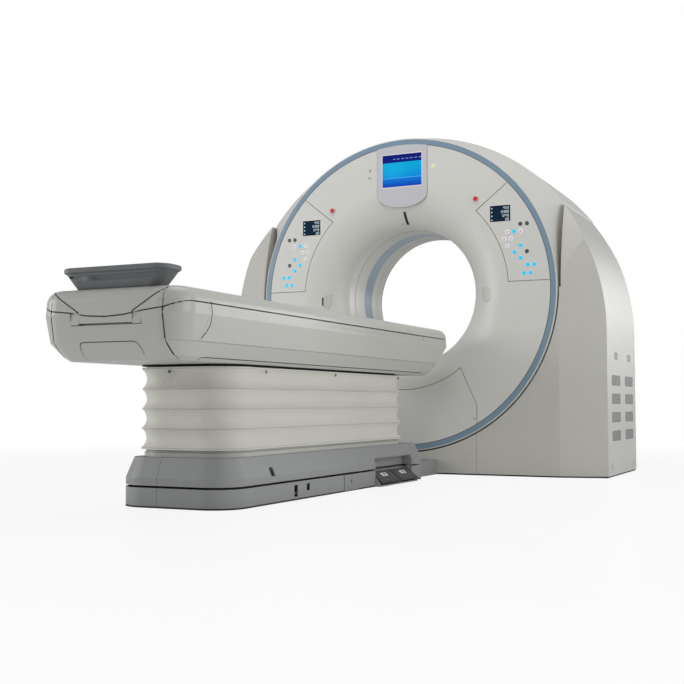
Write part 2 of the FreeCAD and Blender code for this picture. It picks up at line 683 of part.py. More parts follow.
# ---------------------------------------------------------------- tilt frame and rotor
def make_tilt_frame():
    """Ring plate, side arms with the trunnions, lugs to the shell and ribs to both faces."""
    room = drum_solid(COVER_T + SEAT, -COVER_T)
    plate = bore_ring(TILT_PLATE_R[0] + SEAT, TILT_PLATE_R[1], TILT_PLATE_Y)
    wall = DRUM_HALF - COVER_T - SEAT
    arm = box((ARM_X, DRUM_HALF), (-110, TILT_PLATE_Y[1]), (ISO_Z - 170, ISO_Z + 170))
    lugs = [bore_box(a, (TILT_PLATE_R[1] - 12, ARCH_RISE), 60, TILT_PLATE_Y) for a in (90, 270)]
    windows = [rod(64, (PLATE_WINDOW_R * math.cos(math.radians(a)), TILT_PLATE_Y[0] - 5,
                        ISO_Z + PLATE_WINDOW_R * math.sin(math.radians(a))), (0, 1, 0), 70)
               for a in (22, 68, 112, 158, 202, 248, 292, 338)]
    ribs = []
    for angle in (45, 135, 225, 270, 315):
        ribs.append(bore_box(angle, (832, 852), 26, (FRONT_Y + COVER_T, TILT_PLATE_Y[0] + 1)))
        ribs.append(bore_box(angle, (740, 765), 26, (TILT_PLATE_Y[1] - 1, REAR_Y - COVER_T)))
    body = fuse(plate, arm, mirrored(arm), *lugs).common(room)
    trunnion = rod(TRUNNION_R, (wall - 10, 0, ISO_Z), (1, 0, 0), TRUNNION_END - wall + 10)
    return fuse(body, trunnion, mirrored(trunnion), *ribs).cut(Part.makeCompound(windows))


def make_bearing_outer():
    return bore_ring(MAIN_BEARING_R[1] + SEAT, MAIN_BEARING_R[2], MAIN_BEARING_Y)


def make_bearing_inner():
    return bore_ring(MAIN_BEARING_R[0], MAIN_BEARING_R[1], MAIN_BEARING_Y)


def make_stator():
    return bore_ring(STATOR_R[0] + SEAT, STATOR_R[1], (DRIVE_Y[0] + 4, TILT_PLATE_Y[0]))


def make_rotor_frame():
    """Rotor plate with rim, bearing journal, drive magnets' band and two balance weights."""
    plate = bore_ring(ROTOR_R[0], ROTOR_R[1], ROTOR_PLATE_Y)
    rim = bore_ring(ROTOR_R[1] - ROTOR_RIM_T, ROTOR_R[1], (ROTOR_RIM_FRONT, ROTOR_PLATE_Y[0]))
    journal = bore_ring(ROTOR_R[0], MAIN_BEARING_R[0], (ROTOR_PLATE_Y[1], JOURNAL_END))
    holes = [rod(50, (ROTOR_WINDOW_R * math.cos(math.radians(a)), ROTOR_PLATE_Y[0] - 5,
                      ISO_Z + ROTOR_WINDOW_R * math.sin(math.radians(a))), (0, 1, 0), 60)
             for a in (10, 50, 130, 170)]
    magnets = bore_ring(MAGNET_R[0], MAGNET_R[1], (ROTOR_PLATE_Y[1], DRIVE_Y[1]))
    weights = [bore_box(angle, (700, ROTOR_R[1] - ROTOR_RIM_T + 1), 60, (40, ROTOR_PLATE_Y[0]))
               for angle in (-12, 192)]
    return fuse(plate, rim, journal, magnets, *weights).cut(Part.makeCompound(holes))


def make_slip_ring():
    disc = bore_ring(ROTOR_R[0], SLIP_RING_R, (JOURNAL_END, JOURNAL_END + SLIP_RING_T))
    grooves = []
    for i in range(SLIP_GROOVES):
        r = ROTOR_R[0] + 24 + i * 28
        grooves.append(bore_ring(r, r + 8, (JOURNAL_END + SLIP_RING_T - 5, JOURNAL_END + SLIP_RING_T + 5)))
    return disc.cut(Part.makeCompound(grooves))


def make_brush_block():
    face = JOURNAL_END + SLIP_RING_T
    foot = bore_box(-60, (TILT_PLATE_R[0] + 8, 690), 50, (TILT_PLATE_Y[1], face + 22))
    arm = bore_box(-60, (500, TILT_PLATE_R[0] + 9), 34, (face + SEAT, face + 22))
    return fuse(foot, arm)


def make_tube():
    z = ISO_Z + TUBE_AT
    can = rod(TUBE_R, (0, TUBE_Y[0], z), (0, 1, 0), TUBE_Y[1] - TUBE_Y[0])
    cap = rod(TUBE_R - 26, (0, TUBE_Y[0] - 30, z), (0, 1, 0), 30)
    port = box((-50, 50), (-60, 60), (z - TUBE_R - 6, z))
    foot = box((-80, 80), (TUBE_Y[1] - 30, ROTOR_PLATE_Y[0]), (z - 84, z + 84))
    return fuse(can, cap, port, foot)


def make_collimator():
    top, low = ISO_Z + TUBE_AT - TUBE_R - 6, ISO_Z + BORE_R + 34
    side = polygon([(-60, 0, top), (60, 0, top), (150, 0, low), (-150, 0, low)])
    return side.extrude(V(0, 110, 0)).translated(V(0, -55, 0))


def fan_sector(r_in, r_out, span, y):
    """Part of a ring about the focal spot, centred straight down, over an angle."""
    focus = V(0, y[0], ISO_Z + FOCUS_R)

    def at(r, degrees):
        turn = math.radians(degrees)
        return focus + V(r * math.sin(turn), 0, -r * math.cos(turn))

    h = span / 2
    edges = [
        Part.Arc(at(r_in, -h), at(r_in, 0), at(r_in, h)).toShape(),
        Part.makeLine(at(r_in, h), at(r_out, h)),
        Part.Arc(at(r_out, h), at(r_out, 0), at(r_out, -h)).toShape(),
        Part.makeLine(at(r_out, -h), at(r_in, -h)),
    ]
    return closed_face(edges).extrude(V(0, y[1] - y[0], 0))


def make_detector_array():
    """The detector arc and five electronics boxes on its back."""
    inner = DETECTOR_R + DETECTOR_T
    pieces = [fan_sector(DETECTOR_R, inner, DETECTOR_SPAN, DETECTOR_Y)]
    for i in range(5):
        piece = fan_sector(inner, inner + READOUT_BOX_T, 7.6, (DETECTOR_Y[0] + 20, DETECTOR_Y[1] - 20))
        piece.rotate(V(0, 0, ISO_Z + FOCUS_R), V(0, 1, 0), (i - 2) * 9.0)
        pieces.append(piece)
    return fuse(*pieces)


def make_generator():
    return bore_box(158, GENERATOR_R, 130, (-130, ROTOR_PLATE_Y[0]))


def make_cooler():
    body = bore_box(28, COOLER_R, 115, (-110, ROTOR_PLATE_Y[0]))
    fans = []
    for angle in (22.5, 33.5):
        turn = math.radians(angle)
        centre = (COOLER_FAN_R * math.cos(turn), -118, ISO_Z + COOLER_FAN_R * math.sin(turn))
        fans.append(rod(48, centre, (0, 1, 0), 12))
    return body.cut(Part.makeCompound(fans))


# ---------------------------------------------------------------- stands
def make_stand_cover():
    """Right stand: hollow fin with front, side, rear and inner wall, and the corner skirts."""
    depth = (STAND_FRONT_Y - 5, STAND_REAR_Y + 5)
    inner_x = DRUM_HALF + STAND_GAP

    def fin(inset):
        body = stand_plan(inset, inner_x - 50).common(arch_prism(inset, depth))
        body = body.common(nose_bar(inset, False)).common(nose_bar(inset, True))
        return body.common(box((inner_x + inset, SPAN), depth, (FLOOR_GAP - (20 if inset else 0), FAR)))

    shell = fin(0).cut(fin(STAND_T))
    skirt = stand_plan(0, CENTRE_HALF + 1).cut(stand_plan(STAND_T, CENTRE_HALF - 5))
    skirt = skirt.common(box((CENTRE_HALF + 1, inner_x + 1), depth, (FLOOR_GAP, ISO_Z)))
    whole = fuse(shell, skirt.cut(fixed_hole(True)).cut(fixed_hole(False)))
    tools = [rod(TRUNNION_R + 20, (inner_x - 10, 0, ISO_Z), (1, 0, 0), 30)]
    foot = box((inner_x - 2, inner_x + STAND_T + 1), (FRAME_Y[0] - 4, FRAME_Y[1] + 4), (0, FRAME_H + SEAT))
    tools.append(foot)
    for y in VENT_Y:
        for row in range(VENT_ROWS):
            tools.append(vent_bar(y, VENT_Z + row * VENT_PITCH, VENT_SIZE, 0))
        tools.append(vent_bar(y, SLOT_Z, SLOT_SIZE, 0))
    return whole.cut(Part.makeCompound(tools))


def fixed_hole(front):
    """What the round drum leaves of the fixed covers at the front or at the rear."""
    if front:
        return rod(RING_R[1] + SEAT + COVER_T + RING_GAP, (0, STAND_FRONT_Y - 50, ISO_Z), (0, 1, 0), 300)
    centre, across, up = V(0, 0, ISO_Z), V(REAR_HOLE[0], 0, 0), V(0, 0, REAR_HOLE[1])
    edges = [ellipse_arc(centre, across, up, 0, 180), ellipse_arc(centre, across, up, 180, 360)]
    return closed_face(edges).extrude(V(0, 900, 0))


def vent_bar(y, z, size, shrink):
    """A rounded rectangular bar through the stand's side wall."""
    w, h = size[0] / 2 - shrink, size[1] / 2 - shrink
    bar = box((ARCH_HALF - STAND_T - 12, ARCH_HALF + 5), (y - w, y + w), (z - h, z + h))
    along = [e for e in bar.Edges if abs(e.Vertexes[0].X - e.Vertexes[1].X) > 1]
    return bar.makeFillet(VENT_CORNER - shrink, along)


def make_vents():
    """Right-hand grilles: each a louvred insert in its opening."""
    pieces = []
    for y in VENT_Y:
        places = [(VENT_Z + row * VENT_PITCH, VENT_SIZE) for row in range(VENT_ROWS)]
        for z, size in places + [(SLOT_Z, SLOT_SIZE)]:
            insert = vent_bar(y, z, size, SEAT)
            insert = insert.common(box((ARCH_HALF - STAND_T - 6, ARCH_HALF - 2), (-900, 900), (0, 900)))
            pieces.append(insert)
    return Part.makeCompound(pieces)


def make_centre_cover(front):
    """Fixed cover below the ring, between the stands' skirts."""
    y = (STAND_FRONT_Y, STAND_FRONT_Y + STAND_T) if front else (STAND_REAR_Y - STAND_T, STAND_REAR_Y)
    plate = box((-CENTRE_HALF, CENTRE_HALF), y, (FLOOR_GAP, ISO_Z))
    return plate.cut(fixed_hole(front))


def make_floor_frame():
    """Welded frame: side plates with anchor holes, cross bars, lugs and the two uprights."""
    x_in = FRAME_X - FRAME_SIDE
    side = box((x_in, FRAME_X), FRAME_SIDE_Y, (0, FRAME_H))
    side = side.cut(box((x_in + 30, FRAME_X - 30), (FRAME_SIDE_Y[0] + 40, FRAME_SIDE_Y[1] - 40),
                        (24, FRAME_H + 1)))
    front = box((-FRAME_BAR_X, FRAME_BAR_X), (FRAME_Y[0], FRAME_SIDE_Y[0] + 10), (0, FRAME_H))
    rear = box((-FRAME_BAR_X, FRAME_BAR_X), (FRAME_SIDE_Y[1] - 10, FRAME_Y[1]), (0, FRAME_H))
    lugs = []
    for x in (-LUG_X, LUG_X):
        lugs.append(box((x - 20, x + 20), (STAND_FRONT_Y + STAND_T, FRAME_Y[0] + 5), (20, FRAME_H - 20)))
        lugs.append(box((x - 20, x + 20), (FRAME_Y[1] - 5, STAND_REAR_Y - STAND_T), (20, FRAME_H - 20)))
    post = make_post()
    frame = fuse(side, mirrored(side), front, rear, post, mirrored(post), *lugs)
    holes = [rod(ANCHOR_R, (x, y, -1), (0, 0, 1), FRAME_H + 2)
             for x in (-ANCHOR_X, ANCHOR_X) for y in (-ANCHOR_Y, ANCHOR_Y)]
    return frame.cut(Part.makeCompound(holes))


def make_post():
    """Right upright: a tapering plate box with a bearing seat."""
    z0 = 23.0
    outline = polygon([
        (POST_X[0], -POST_FOOT_HALF + 60, z0), (POST_X[0], POST_FOOT_HALF, z0),
        (POST_X[0], POST_HEAD_HALF, POST_TOP - 60), (POST_X[0], POST_HEAD_HALF - 60, POST_TOP),
        (POST_X[0], 60 - POST_HEAD_HALF, POST_TOP), (POST_X[0], -POST_HEAD_HALF, POST_TOP - 60),
    ])
    post = outline.extrude(V(POST_X[1] - POST_X[0], 0, 0))
    seat = rod(BEARING_R + BEARING_CLEARANCE, (POST_X[0] - 5, 0, ISO_Z), (1, 0, 0), 100)
    window = polygon([
        (POST_X[0] - 5, -170, 180), (POST_X[0] - 5, 210, 180), (POST_X[0] - 5, 110, 760),
        (POST_X[0] - 5, -110, 760),
    ]).extrude(V(100, 0, 0))
    return post.cut(seat).cut(window)


def make_trunnion_bearing():
    ring = rod(BEARING_R, (BEARING_X[0], 0, ISO_Z), (1, 0, 0), BEARING_X[1] - BEARING_X[0])
    flange = rod(BEARING_R + 24, (POST_X[1], 0, ISO_Z), (1, 0, 0), 10)
    shaft = rod(TRUNNION_R + BEARING_CLEARANCE, (BEARING_X[0] - 5, 0, ISO_Z), (1, 0, 0), 120)
    return fuse(ring, flange).cut(shaft)


def make_tilt_drive():
    """Gear case around the right trunnion's end, with its motor hanging below."""
    face = BEARING_X[1]
    case = box((face, face + 70), (-120, 120), (ISO_Z - 210, ISO_Z + 110))
    edges = [e for e in case.Edges if abs(e.Vertexes[0].X - e.Vertexes[1].X) > 1]
    case = case.makeFillet(30, edges)
    bore = rod(TRUNNION_R + SEAT, (face - 1, 0, ISO_Z), (1, 0, 0), TRUNNION_END - face + 2)
    motor = rod(52, (face + 46, 0, ISO_Z - 470), (0, 0, 1), 262)
    return fuse(case, motor).cut(bore)


def make_cable_duct():
    y = (BASE_Y[1], STAND_FRONT_Y)
    outer = box((-DUCT_HALF, DUCT_HALF), y, (0, DUCT_TOP))
    inner = box((DUCT_T - DUCT_HALF, DUCT_HALF - DUCT_T), (y[0] - 1, y[1] + 1), (-1, DUCT_TOP - DUCT_T))
    return outer.cut(inner)


# ---------------------------------------------------------------- couch body
def couch_outline(z, side=0.0, foot=0.0, head=0.0):
    """The couch body's plan outline, drawn in at the sides and at either end."""
    inset = max(side, 0.0)
    return rounded_outline(z, COUCH_HALF - side, (COUCH_FOOT_Y + foot, COUCH_HEAD_Y - head),
                           (COUCH_FOOT_R - inset * 0.5, COUCH_HEAD_R - inset * 0.5))


def couch_tub(inset, top):
    """The couch body below the lid: nearly upright sides, then a sloping underside."""
    wires = []
    for z, side, foot, head in COUCH_LEVELS:
        lift = inset if z == COUCH_LEVELS[0][0] else 0.0
        wires.append(couch_outline(z + lift, side + inset, foot + inset, head + inset))
    if top > COUCH_LEVELS[-1][0]:
        wires.append(couch_outline(top, inset, inset, inset))
    return stack(wires)


def couch_walls():
    return couch_tub(0.0, 0.0).cut(couch_tub(COUCH_T, COUCH_SEAM_Z + 5))


def end_zone(gap):
    """Everything on the foot side of the slanting seam behind the corner covers."""
    (z_top, y_top), (z_mid, y_mid), (z_low, y_low) = CORNER_SEAM
    far = COUCH_FOOT_Y - 50
    points = [(far, 900), (y_top - gap, 900), (y_top - gap, z_top), (y_mid - gap, z_mid),
              (y_low - gap, z_low + gap), (far, z_low + gap)]
    return polygon([(-500, y, z) for y, z in points]).extrude(V(1000, 0, 0))


def face_zone(gap):
    """The part of the foot end that its middle cover takes."""
    return box((gap - FOOT_HALF, FOOT_HALF - gap), (COUCH_FOOT_Y - 50, COUCH_FOOT_Y + 90), (400, 900))


def above_seam(rise):
    """Everything above the bowed lid seam at the foot end, the seam raised by a distance."""
    right = [(x, z + rise) for x, z in LID_BOW]
    left = [(-x, z) for x, z in reversed(right[:-1])]
    points = [(500, 900), (500, right[0][1])] + right + left + [(-500, right[0][1]), (-500, 900)]
    face = polygon([(x, COUCH_FOOT_Y - 50, z) for x, z in points])
    return face.extrude(V(0, 400, 0))


def make_couch_shell():
    """Side panels and underside in one tub, open on top, with a hole for the lift."""
    tub = couch_walls().cut(end_zone(0.0)).cut(face_zone(-SEAM_GAP / 2))
    deck = box((-DECK_HALF - 2, DECK_HALF + 2), (DECK_Y[0] - 2, DECK_Y[1] + 2),
               (500, DECK_Z[1] + 12))
    top, crease = COUCH_LEVELS[-1][0], COUCH_LEVELS[2]
    tools = [deck]
    for side in (-1, 1):
        x = sorted((side * (COUCH_HALF - SIDE_RECESS[1]), side * (COUCH_HALF + 5)))
        tools.append(box(x, SIDE_RECESS_Y, (top - SIDE_RECESS[0], top + 1)))
        x = sorted((side * (COUCH_HALF - crease[1] - 2), side * (COUCH_HALF + 5)))
        tools.append(box(x, SIDE_GROOVE_Y, (crease[0] - SIDE_GROOVE / 2, crease[0] + SIDE_GROOVE / 2)))
    return tub.cut(Part.makeCompound(tools))


def make_corner_covers():
    """Both corner covers of the foot end, above the crease and below the lid's seam."""
    covers = couch_walls().common(end_zone(SEAT)).cut(face_zone(-SEAM_GAP / 2))
    return covers.cut(above_seam(-SEAM_GAP / 2))


def make_foot_cover():
    """Foot-end cover: a recess with its tray, the pull flap before it and the hatch opening."""
    y = COUCH_FOOT_Y
    recess = box((-RECESS_HALF, RECESS_HALF), (y - 30, y + RECESS_DEPTH), (RECESS_Z, COUCH_SEAM_Z + 1))
    tray = box((-RECESS_HALF - TRAY_T, RECESS_HALF + TRAY_T), (y - 30, y + RECESS_DEPTH + TRAY_T),
               (RECESS_Z - TRAY_T, COUCH_SEAM_Z + 1)).common(couch_tub(TRAY_T / 2, 0.0))
    flap = couch_walls().common(
        box((-FLAP_HALF, FLAP_HALF), (y - 30, y + RECESS_DEPTH), (FLAP_Z, COUCH_SEAM_Z)))
    rib = box((20 - FLAP_HALF, FLAP_HALF - 20), (y + 2, y + RECESS_DEPTH + 1), (FLAP_Z + 5, FLAP_Z + 10))
    end = couch_walls().common(face_zone(SEAM_GAP / 2)).cut(recess)
    whole = fuse(end, tray.cut(recess), flap, rib)
    return whole.cut(hatch_bar(0)).cut(above_seam(-SEAM_GAP / 2))


def hatch_bar(shrink):
    """The lower hatch in the foot end, below the crease."""
    w = HATCH_HALF - shrink
    crease = COUCH_LEVELS[2][0]
    bar = box((-w, w), (COUCH_FOOT_Y - 10, COUCH_FOOT_Y + 91), (COUCH_LEVELS[0][0] - 1, crease - 2 - shrink))
    upright = [e for e in bar.Edges if e.BoundBox.YLength > 80 and e.CenterOfMass.z > crease - 36]
    return bar.makeFillet(24, upright)


def make_foot_hatch():
    return couch_walls().common(face_zone(SEAM_GAP)).common(hatch_bar(SEAT * 2))


def lid_blank():
    lid = prism(couch_outline(COUCH_SEAM_Z), COUCH_TOP_Z - COUCH_SEAM_Z)
    rim = [e for e in lid.Edges if e.BoundBox.ZLength < 0.1 and e.CenterOfMass.z > COUCH_TOP_Z - 1]
    return lid.makeFillet(LID_ROUND, rim)


def lid_hollow():
    """The channel in the lid for the tabletop, open at the gantry end."""
    return box((-CHANNEL_HALF, CHANNEL_HALF), (CHANNEL_FOOT_Y, COUCH_HEAD_Y + 10), (COUCH_SEAM_Z - 1, 900))


def lid_v(grow, depth=0.0):
    """The V-shaped insert in the middle of the foot end, or its seam down to a depth."""
    top, low = LID_V[0] + grow, LID_V[1] + grow
    foot = LID_BOW[-1][1] - 20
    right = [(low, foot), (low, LID_V_FOOT), (top, COUCH_TOP_Z), (top, COUCH_TOP_Z + 5)]
    points = right + [(-x, z) for x, z in reversed(right)]
    face = polygon([(x, COUCH_FOOT_Y - 10, z) for x, z in points])
    return face.extrude(V(0, depth or CHANNEL_FOOT_Y - COUCH_FOOT_Y + 15, 0))


def lid_skirt():
    """The couch body's wall between the bowed seam and the lid, at the foot end."""
    wall = couch_tub(0.0, COUCH_SEAM_Z).cut(couch_tub(COUCH_T, COUCH_SEAM_Z + 5))
    return wall.common(above_seam(SEAM_GAP / 2)).common(end_zone(SEAM_GAP))


def make_lid():
    """The lid with its channel and pockets, less the insert at the foot end."""
    lid = fuse(lid_blank(), lid_skirt()).cut(lid_hollow())
    lid = lid.cut(lid_v(SEAT)).cut(lid_v(SEAM_GAP, LID_TONGUE + 10))
    return lid.cut(Part.makeCompound([lid_pocket(side) for side in (-1, 1)]))


def lid_pocket(side):
    """The hollow along each side of the lid, seen from below."""
    x = sorted((side * (CHANNEL_HALF + COUCH_T), side * (COUCH_HALF - 32)))
    y = (COUCH_FOOT_Y + 150, COUCH_HEAD_Y - 80)
    return box(x, y, (COUCH_SEAM_Z - 1, COUCH_TOP_Z - 20))


def make_lid_insert():
    """V-shaped middle of the foot end: its lid part and the apron down to the bowed seam."""
    return fuse(lid_blank().cut(lid_hollow()), lid_skirt()).common(lid_v(0))


# ---------------------------------------------------------------- couch frame and lift
def make_couch_frame():
    """Deck on the lift, two channel beams, cross members, cover brackets and the rails."""
    strip = prism(bellows_outline(BELLOWS_Z[1], 0.0), DECK_Z[0] - BELLOWS_Z[1])
    strip = strip.cut(prism(bellows_outline(BELLOWS_Z[1] - 1, -BELLOWS_WALL - 30), 50))
    pieces = [box((-DECK_HALF, DECK_HALF), DECK_Y, DECK_Z), strip]
    web_z = DECK_Z[1] + 31
    for side in (-1, 1):
        x = sorted((side * BEAM_X[0], side * BEAM_X[1]))
        beam = box(x, BEAM_Y, (web_z - 1, BEAM_Z))
        hollow = box(sorted((side * (BEAM_X[0] - 1), side * (BEAM_X[1] - 6))),
                     (BEAM_Y[0] + 10, BEAM_Y[1] - 10), (web_z + 5, BEAM_Z - 6))
        pieces += [beam.cut(hollow), box(x, DECK_Y, (DECK_Z[1] - 1, web_z)), make_rail(side)]
        for y in BRACKET_Y:
            ledge = sorted((side * (BEAM_X[1] - 1), side * (COUCH_HALF - COUCH_T - 3)))
            pieces.append(box(ledge, (y - 20, y + 20), (BEAM_Z - 20, BEAM_Z)))
            post = sorted((side * (CHANNEL_HALF + COUCH_T + 4), side * (COUCH_HALF - 36)))
            pieces.append(box(post, (y - 20, y + 20), (BEAM_Z - 1, COUCH_TOP_Z - 20 - SEAT)))
        corner = sorted((side * (BEAM_X[1] - 1), side * (COUCH_HALF - COUCH_T - 8.4)))
        pieces.append(box(corner, (BEAM_Y[0] + 30, BEAM_Y[0] + 70), TIE_Z))
    for y in CROSS_Y:
        pieces.append(box((5 - BEAM_X[1], BEAM_X[1] - 5), (y - 25, y + 25), (DECK_Z[1] + 40, BEAM_Z - 40)))
    pieces.append(box((-BEAM_X[0] - 10, BEAM_X[0] + 10), (COUCH_FOOT_Y + 11, BEAM_Y[0] + 5), TIE_Z))
    return fuse(*pieces)


def make_rail(side):
    x = sorted((side * RAIL_X[0], side * RAIL_X[1]))
    bridge = [box(sorted((side * 105.0, side * 170.0)), (y - 25, y + 25), (BEAM_Z - 1, BEAM_Z + 5))
              for y in CROSS_Y]
    rail = box(x, (BEAM_Y[0] + 20, BEAM_Y[1] - 10), (BEAM_Z + 4, BEAM_Z + RAIL_T))
    return fuse(rail, *bridge)


def column_tube(step, y, z):
    """One stage of a lift column; step 0 is the outer one."""
    shrink = step * (COLUMN_WALL + COLUMN_GAP)
    w, d = COLUMN_HALF[0] - shrink, COLUMN_HALF[1] - shrink
    wall = COLUMN_WALL
    tube = box((-w, w), (y - d, y + d), z)
    return tube.cut(box((wall - w, w - wall), (y - d + wall, y + d - wall), (z[0] - 1, z[1] + 1)))


def make_columns(step, z):
    """The same stage of both lift columns."""
    return Part.makeCompound([column_tube(step, y, z) for y in COLUMN_Y])


def make_lift_pack():
    """Sealed power pack for the two columns, on the base plate between them."""
    y = (COLUMN_Y[0] + COLUMN_Y[1]) / 2
    case = box((-110, 110), (y - 190, y + 190), (PLATE_T, PLATE_T + 120))
    upright = [e for e in case.Edges if e.BoundBox.ZLength > 100]
    return fuse(case.makeFillet(14, upright), rod(48, (0, y - 60, PLATE_T + 110), (0, 0, 1), 50))


def make_table_drive():
    """Motor and gear case between the beams, under the tabletop."""
    start, end = TABLE_DRIVE_Y
    case = box((-60, 60), TABLE_DRIVE_Y, (BEAM_Z - 130, BEAM_Z + 15))
    motor = rod(40, (0, end - 5, BEAM_Z - 80), (0, 1, 0), 200)
    foot = box((-BEAM_X[0], BEAM_X[0]), (start + 20, end - 20), (BEAM_Z - 146, BEAM_Z - 130))
    return fuse(case, motor, foot)


# ---------------------------------------------------------------- tabletop
def trough_face(y, drop):
    """Edge of the shallow trough, lowered by a drop."""
    return Part.Arc(V(-TOP_HALF, y, TOP_EDGE_Z - drop), V(0, y, TOP_EDGE_Z - TOP_SAG - drop),
                    V(TOP_HALF, y, TOP_EDGE_Z - drop)).toShape()


def make_tabletop():
    y = TOP_Y[0]
    edges = [
        trough_face(y, 0), trough_face(y, TOP_T),
        Part.makeLine(V(TOP_HALF, y, TOP_EDGE_Z), V(TOP_HALF, y, TOP_EDGE_Z - TOP_T)),
        Part.makeLine(V(-TOP_HALF, y, TOP_EDGE_Z), V(-TOP_HALF, y, TOP_EDGE_Z - TOP_T)),
    ]
    plate = closed_face(edges).extrude(V(0, TOP_Y[1] - TOP_Y[0], 0))
    for y, r in zip(TOP_Y, (TOP_FOOT_R, TOP_NOSE_R)):
        upright = [e for e in plate.Edges if TOP_T - 1 < e.BoundBox.ZLength and e.Length < TOP_T + 1]
        corners = [e for e in upright if abs(e.CenterOfMass.y - y) < 0.1]
        plate = plate.makeFillet(r, corners)
    return plate


def make_carriage():
    low, high = BEAM_Z + RAIL_T + SEAT, TOP_EDGE_Z - TOP_SAG - TOP_T
    frame = box((-CARRIAGE_HALF, CARRIAGE_HALF), CARRIAGE_Y, (low, high))
    cut = []
    count = 3
    pitch = (CARRIAGE_Y[1] - CARRIAGE_Y[0]) / count
    for i in range(count):
        start = CARRIAGE_Y[0] + i * pitch + 30
        cut.append(box((-90, 90), (start, start + pitch - 60), (low - 1, high + 1)))
    return frame.cut(Part.makeCompound(cut))


def grip_level(z, half, grow):
    """The end grip's plan outline at one height, grown along Y."""
    r = GRIP_R + grow * 0.6
    return rounded_outline(z, half, (GRIP_Y[0] - grow, GRIP_Y[1] + grow), (r, r))


def make_end_grip():
    """Foot-end grip of the tabletop: a flared trough, a rounded rim and a hand slot in its face."""
    low, neck, top = GRIP_Z
    body = stack([grip_level(low, GRIP_HALF[0], 0), grip_level(neck, GRIP_HALF[1], GRIP_FLARE)])
    rim = stack([grip_level(neck + z, GRIP_HALF[1] + reach, GRIP_FLARE + reach) for z, reach in GRIP_RIM])
    hollow = stack([
        grip_level(low + 10, GRIP_HALF[0] - GRIP_T + 6, 4 - GRIP_T),
        grip_level(top + 1, GRIP_HALF[1] - GRIP_T + 6, GRIP_FLARE - GRIP_T + 6),
    ])
    (half, z0), (half_top, z1) = GRIP_OPENING
    y = GRIP_Y[0] - 80
    slot = polygon([(-half, y, z0), (half, y, z0), (half_top, y, z1), (-half_top, y, z1)])
    slot = slot.extrude(V(0, (GRIP_Y[1] - GRIP_Y[0]) / 2 + 80, 0))
    foot = box((-TOP_HALF + 60, TOP_HALF - 60), GRIP_Y, (low - 16, low + 1))
    return fuse(body, rim).cut(hollow).cut(slot).fuse(foot.cut(make_tabletop())).removeSplitter()


# ---------------------------------------------------------------- couch base
def make_base_plate():
    plate = box((-PLATE_HALF, PLATE_HALF), PLATE_Y, (0, PLATE_T))
    plate = plate.cut(box((BAY_X - 6, 400), (BAY_Y[0] - 6, BAY_Y[1] + 6), (-1, PLATE_T + 1)))
    posts = [rod(11, (x, y, PLATE_T - 1), (0, 0, 1), BASE_TOP_Z - BASE_T - PLATE_T + 1)
             for y in SHROUD_POST_Y for x in (-195.0, 175.0)]
    plate = fuse(plate, *posts)
    holes = [rod(ANCHOR_R, (x, y, -1), (0, 0, 1), PLATE_T + 2)
             for x in (-COUCH_ANCHOR_X, COUCH_ANCHOR_X) for y in COUCH_ANCHOR_Y]
    return plate.cut(Part.makeCompound(holes))


def bay_box(grow=0.0):
    """The pedal bay cut out of the base's right side."""
    return box((BAY_X - grow, 400), (BAY_Y[0] - grow, BAY_Y[1] + grow), (-5, BAY_TOP + grow))


def make_base_band():
    """Lower band of the base, with a bay for the pedals and two cable slots."""
    band = prism(base_outline(0), BASE_BAND_Z).cut(prism(base_outline(-1, BASE_T), BASE_BAND_Z + 2))
    ledge = prism(base_outline(PLATE_T, BASE_T - 1), 6).cut(
        box((-PLATE_HALF + 12, PLATE_HALF - 12), (PLATE_Y[0] + 12, PLATE_Y[1] - 12), (0, 60)))
    slots = [box((BASE_HALF - 12, BASE_HALF + 5), (start, end), (foot, BAND_SLOT_TOP))
             for start, end, foot in BAND_SLOTS]
    return fuse(band, ledge).cut(bay_box()).cut(Part.makeCompound(slots))


def make_base_shroud():
    """Upper shroud: upright, then sloping in to a deck with an opening for the lift."""
    foot = BASE_BAND_Z + BASE_GAP
    outer = stack([base_outline(foot), base_outline(BASE_KNEE_Z), base_outline(BASE_TOP_Z, BASE_TOP_INSET)])
    inner = stack([base_outline(foot - 1, BASE_T), base_outline(BASE_KNEE_Z, BASE_T),
                   base_outline(BASE_TOP_Z - BASE_T, BASE_TOP_INSET + BASE_T)])
    opening = box((-150, 150), (DECK_Y[0] + 60, DECK_Y[1] - 40), (100, 300))
    slot = box((BASE_HALF - 40, BASE_HALF + 5), *SHROUD_SLOT)
    return outer.cut(inner).cut(opening).cut(bay_box()).cut(slot)


